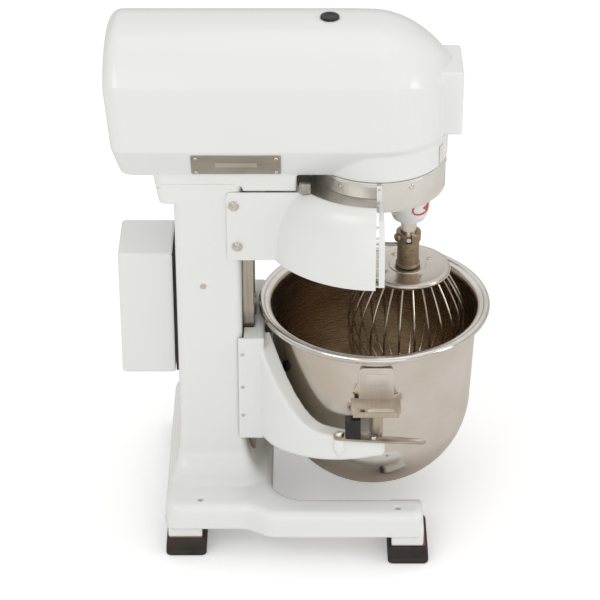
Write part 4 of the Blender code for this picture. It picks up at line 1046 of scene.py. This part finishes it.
def make_lug(name, side):
    low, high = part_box(name)
    shelf_low, shelf_high = 0.2575, 0.2605
    near = min(abs(low.y), abs(high.y))
    far = max(abs(low.y), abs(high.y))

    def bar(x0, x1, y0, y1, z0, z1, bevel):
        ys = span(side, y0, y1)
        return box((BOWL_X + x0, ys[0], z0), (BOWL_X + x1, ys[1], z1), bevel, 2)

    tab_corners = [(-0.025, 0.2585), (0.025, 0.2585), (0.025, high.z), (-0.025, high.z)]
    tab_outline = rounded_outline(tab_corners, [0.001, 0.001, 0.006, 0.006], 5)
    ys = span(side, near + 0.0001, near + 0.003)
    tab = prism([(BOWL_X + x, z) for x, z in tab_outline], ys[0], ys[1], "Y")
    panel = bar(-0.0155, 0.0155, near + 0.002, near + 0.0042, 0.283, 0.303, 0.001)
    shelf_corners = [(-0.037, near + 0.0003), (0.035, near + 0.0003), (0.035, far), (-0.037, far)]
    shelf_outline = rounded_outline(shelf_corners, [0.001, 0.001, 0.005, 0.005], 5)
    shelf = prism([(BOWL_X + x, side * y) for x, y in shelf_outline], shelf_low, shelf_high)
    lip = bar(-0.034, 0.032, far - 0.0032, far, shelf_low - 0.0045, shelf_low + 0.001, 0.001)
    hole = bar(-0.0235, -0.0165, 0.1795, 0.188, 0.25, 0.27, 0.0008)
    plate = bar(-0.0125, 0.0245, 0.1795, 0.188, shelf_high - 0.0005, shelf_high + 0.0009, 0.0006)
    collar = shifted(softened(rod(0.01, 0.216, 0.2585, 48), 0.001, 2), (BOWL_X, side * 0.169, 0))
    pin = shifted(rod(0.007, 0.1975, 0.22, 40), (BOWL_X, side * LUG_PIN_Y, 0))
    bracket = merge(softened(carve(shelf, [cut(hole)]), 0.0006, 2), collar, pin, lip)
    add_piece(name + "_bracket", bracket, "lug", [name], "carriage")
    add_piece(name + "_tab", merge(softened(tab, 0.0008, 2), panel), "lug_tab", body="carriage")
    add_piece(name + "_wear_plate", plate, "rim", body="carriage")


def make_latch(name, side):
    points = [(-0.0085, -0.006), (0.0, -0.0085), (0.03, -0.006), (0.038, -0.001), (0.072, 0.002),
              (0.118, 0.0085), (0.125, 0.014), (0.118, 0.0195), (0.07, 0.0165), (0.03, 0.0125),
              (0.0, 0.0085), (-0.0085, 0.006)]
    radii = [0.004, 0.01, 0.006, 0.006, 0.05, 0.005, 0.003, 0.005, 0.08, 0.01, 0.01, 0.004]
    outline = rounded_outline([(LATCH_X + x, side * (LATCH_Y + out)) for x, out in points], radii, 4)
    low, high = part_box("latch_lever_" + name)
    plate = softened(prism(outline, low.z, high.z), 0.0006, 2, 50)
    bore = rod(LATCH_BORE, 0.2, 0.23, 24, (LATCH_X, side * LATCH_Y, 0))
    body = "latch_" + name
    add_piece(f"latch_arm_{name}", carve(plate, [cut(bore)]), "lever", ["latch_lever_" + name], body)
    place = (LATCH_X + 0.0485, side * (LATCH_Y + 0.0085), high.z)
    button = placed(screw_head(0.0042, 0.004), place, (0, 0, 1))
    add_piece(f"latch_button_{name}", button, "screw", body=body)
    low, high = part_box("latch_block_" + name)
    block = box(low, high, 0.0014)
    groove = box((low.x - 0.01, low.y - 0.01, low.z + 0.018),
                 (low.x + 0.0012, high.y + 0.01, low.z + 0.02))
    add_piece(f"latch_stop_{name}", carve(block, [cut(groove)]), "black", ["latch_block_" + name], body)
    low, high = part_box("latch_bolt_" + name)
    seat = high.z - 0.0044
    head = turned([(0, low.z), (0.0042, low.z), (0.0042, seat), (0.0066, seat), (0.0066, seat + 0.0019),
                   (0.0062, seat + 0.003), (0.005, high.z - 0.0003), (0.0028, high.z),
                   (0.0026, high.z - 0.0018), (0, high.z - 0.002)], 40)
    shifted(head, ((low.x + high.x) / 2, (low.y + high.y) / 2, 0))
    add_piece(f"latch_pivot_{name}", head, "screw", ["latch_bolt_" + name], "carriage")


# Rear electrical box

def make_electrical_box():
    low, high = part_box("electrical_box")
    steps = [cut(box((low.x + 0.002, low.y + 0.002, low.z + 0.002),
                     (high.x + 0.03, high.y - 0.002, high.z - 0.002)))]
    for name in ("start_button", "stop_button"):
        a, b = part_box(name)
        middle = (a + b) / 2
        steps.append(cut(rod(0.0085, 0.04, 0.06, 32, (middle.x, 0, middle.z), "Y")))
    add_piece("electrical_housing", carve(box(low, high, 0.005, 5), steps), "white", ["electrical_box"])


# Finish of the CAD pieces that stay as they are

KEPT = {
    "steel": ["hub_bearing", "gearbox_frame", "motor_bearing", "output_bearing", "main_bearing",
              "internal_gear", "layshaft", "output_shaft", "drive_bevel_gear", "lift_rack",
              "lift_pinion_shaft", "shift_spindle"],
    "screw": ["agitator_shaft"],
    "slide": ["slide_rail_left", "slide_rail_right"],
    "bronze": ["agitator_bearing", "gib_strip"],
    "iron": ["motor_stator"],
    "copper": ["motor_rotor"],
    "ring": ["lift_lever", "shift_lever"],
    "rubber": ["box_gasket"],
    "black": ["contactor", "cable_gland", "lift_grip", "shift_knob"],
    "green": ["start_button"],
    "red": ["stop_button"],
}


def finish_cad_pieces():
    for look, names in KEPT.items():
        for name in names:
            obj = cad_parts[name]
            obj.data.materials.clear()
            obj.data.materials.append(LOOK[look])


# Studio

def make_floor():
    """A pale floor. It glows a little for the camera, and looks browner in reflections."""
    mesh = bmesh.new()
    bmesh.ops.create_grid(mesh, x_segments=1, y_segments=1, size=12)
    floor = solid("floor", mesh)
    floor.location.z = -0.0003
    material, tree, shader = start_material("pale_floor")
    path = node(tree, "LightPath", {})
    glossy = path.outputs["Is Glossy Ray"]
    colour = blend_colour(tree, (0.93, 0.93, 0.925, 1), (0.72, 0.68, 0.63, 1), glossy, "MIX")
    glow = spread(tree, path.outputs["Is Camera Ray"], 0.0, 0.22, 0.0, 1.0)
    fill(tree, shader, {"Base Color": colour, "Roughness": 0.9, "Specular IOR Level": 0.0,
                        "Emission Color": (1.0, 1.0, 1.0, 1), "Emission Strength": glow})
    floor.data.materials.append(material)


def make_world():
    """Even white light. Reflections see a sky that is darker and browner low down."""
    world = bpy.data.worlds.new("studio")
    bpy.context.scene.world = world
    world.use_nodes = True
    tree = world.node_tree
    place = node(tree, "TexCoord", {}).outputs["Generated"]
    height = node(tree, "SeparateXYZ", {"Vector": place}).outputs["Z"]
    sky = node(tree, "ValToRGB", {})
    low, high = sky.color_ramp.elements
    sky.color_ramp.elements.remove(high)
    low.position, low.color = 0.0, (0.46, 0.42, 0.38, 1)
    for position, colour in ((0.28, (0.78, 0.75, 0.72, 1)), (0.6, (1.0, 0.99, 0.98, 1))):
        sky.color_ramp.elements.new(position).color = colour
    fill(tree, sky, {"Fac": height})
    path = node(tree, "LightPath", {})
    glossy = path.outputs["Is Glossy Ray"]
    colour = blend_colour(tree, (1.0, 1.0, 1.0, 1), sky.outputs["Color"], glossy, "MIX")
    fill(tree, tree.nodes["Background"], {"Color": colour, "Strength": 0.8})


def add_area_light(name, location, target, size, power):
    light = bpy.data.lights.new(name, "AREA")
    light.shape = "RECTANGLE"
    light.size, light.size_y = size
    light.energy = power
    obj = link(name, light)
    obj.location = location
    obj.rotation_euler = (Vector(target) - Vector(location)).to_track_quat("-Z", "Y").to_euler()


def make_studio():
    make_floor()
    make_world()
    middle = (CAD_BOX[0] + CAD_BOX[1]) / 2
    add_area_light("key_light", (-1.6, -2.2, 2.9), middle, (1.8, 1.4), 15)
    add_area_light("top_light", (0.3, 0.4, 2.6), middle, (1.6, 1.6), 4)
    add_area_light("front_light", (0.3, -2.8, 0.8), (0.0, 0.0, 0.3), (2.4, 1.2), 6)
    add_area_light("side_light", (2.4, -0.9, 1.3), middle, (0.5, 1.6), 8)
    camera = bpy.data.cameras.new("camera")
    camera.lens = CAMERA_LENS
    camera.sensor_width = 36.0
    obj = link("camera", camera)
    obj.location = CAMERA_PLACE
    obj.rotation_euler = (radians(90 - CAMERA_PITCH), 0, 0)
    camera.clip_end = 50
    bpy.context.scene.camera = obj
    bpy.context.scene.view_settings.view_transform = "Standard"


def build():
    make_pedestal()
    make_feet()
    make_head()
    make_nameplate()
    make_nose_label()
    make_drive()
    make_whisk()
    make_guard()
    make_wire_guard()
    make_yoke()
    make_bumpers()
    make_bowl()
    for name, side in (("left", -1), ("right", 1)):
        make_lug("bowl_lug_" + name, side)
        make_latch(name, side)
    make_electrical_box()
    finish_cad_pieces()
    make_studio()


build()
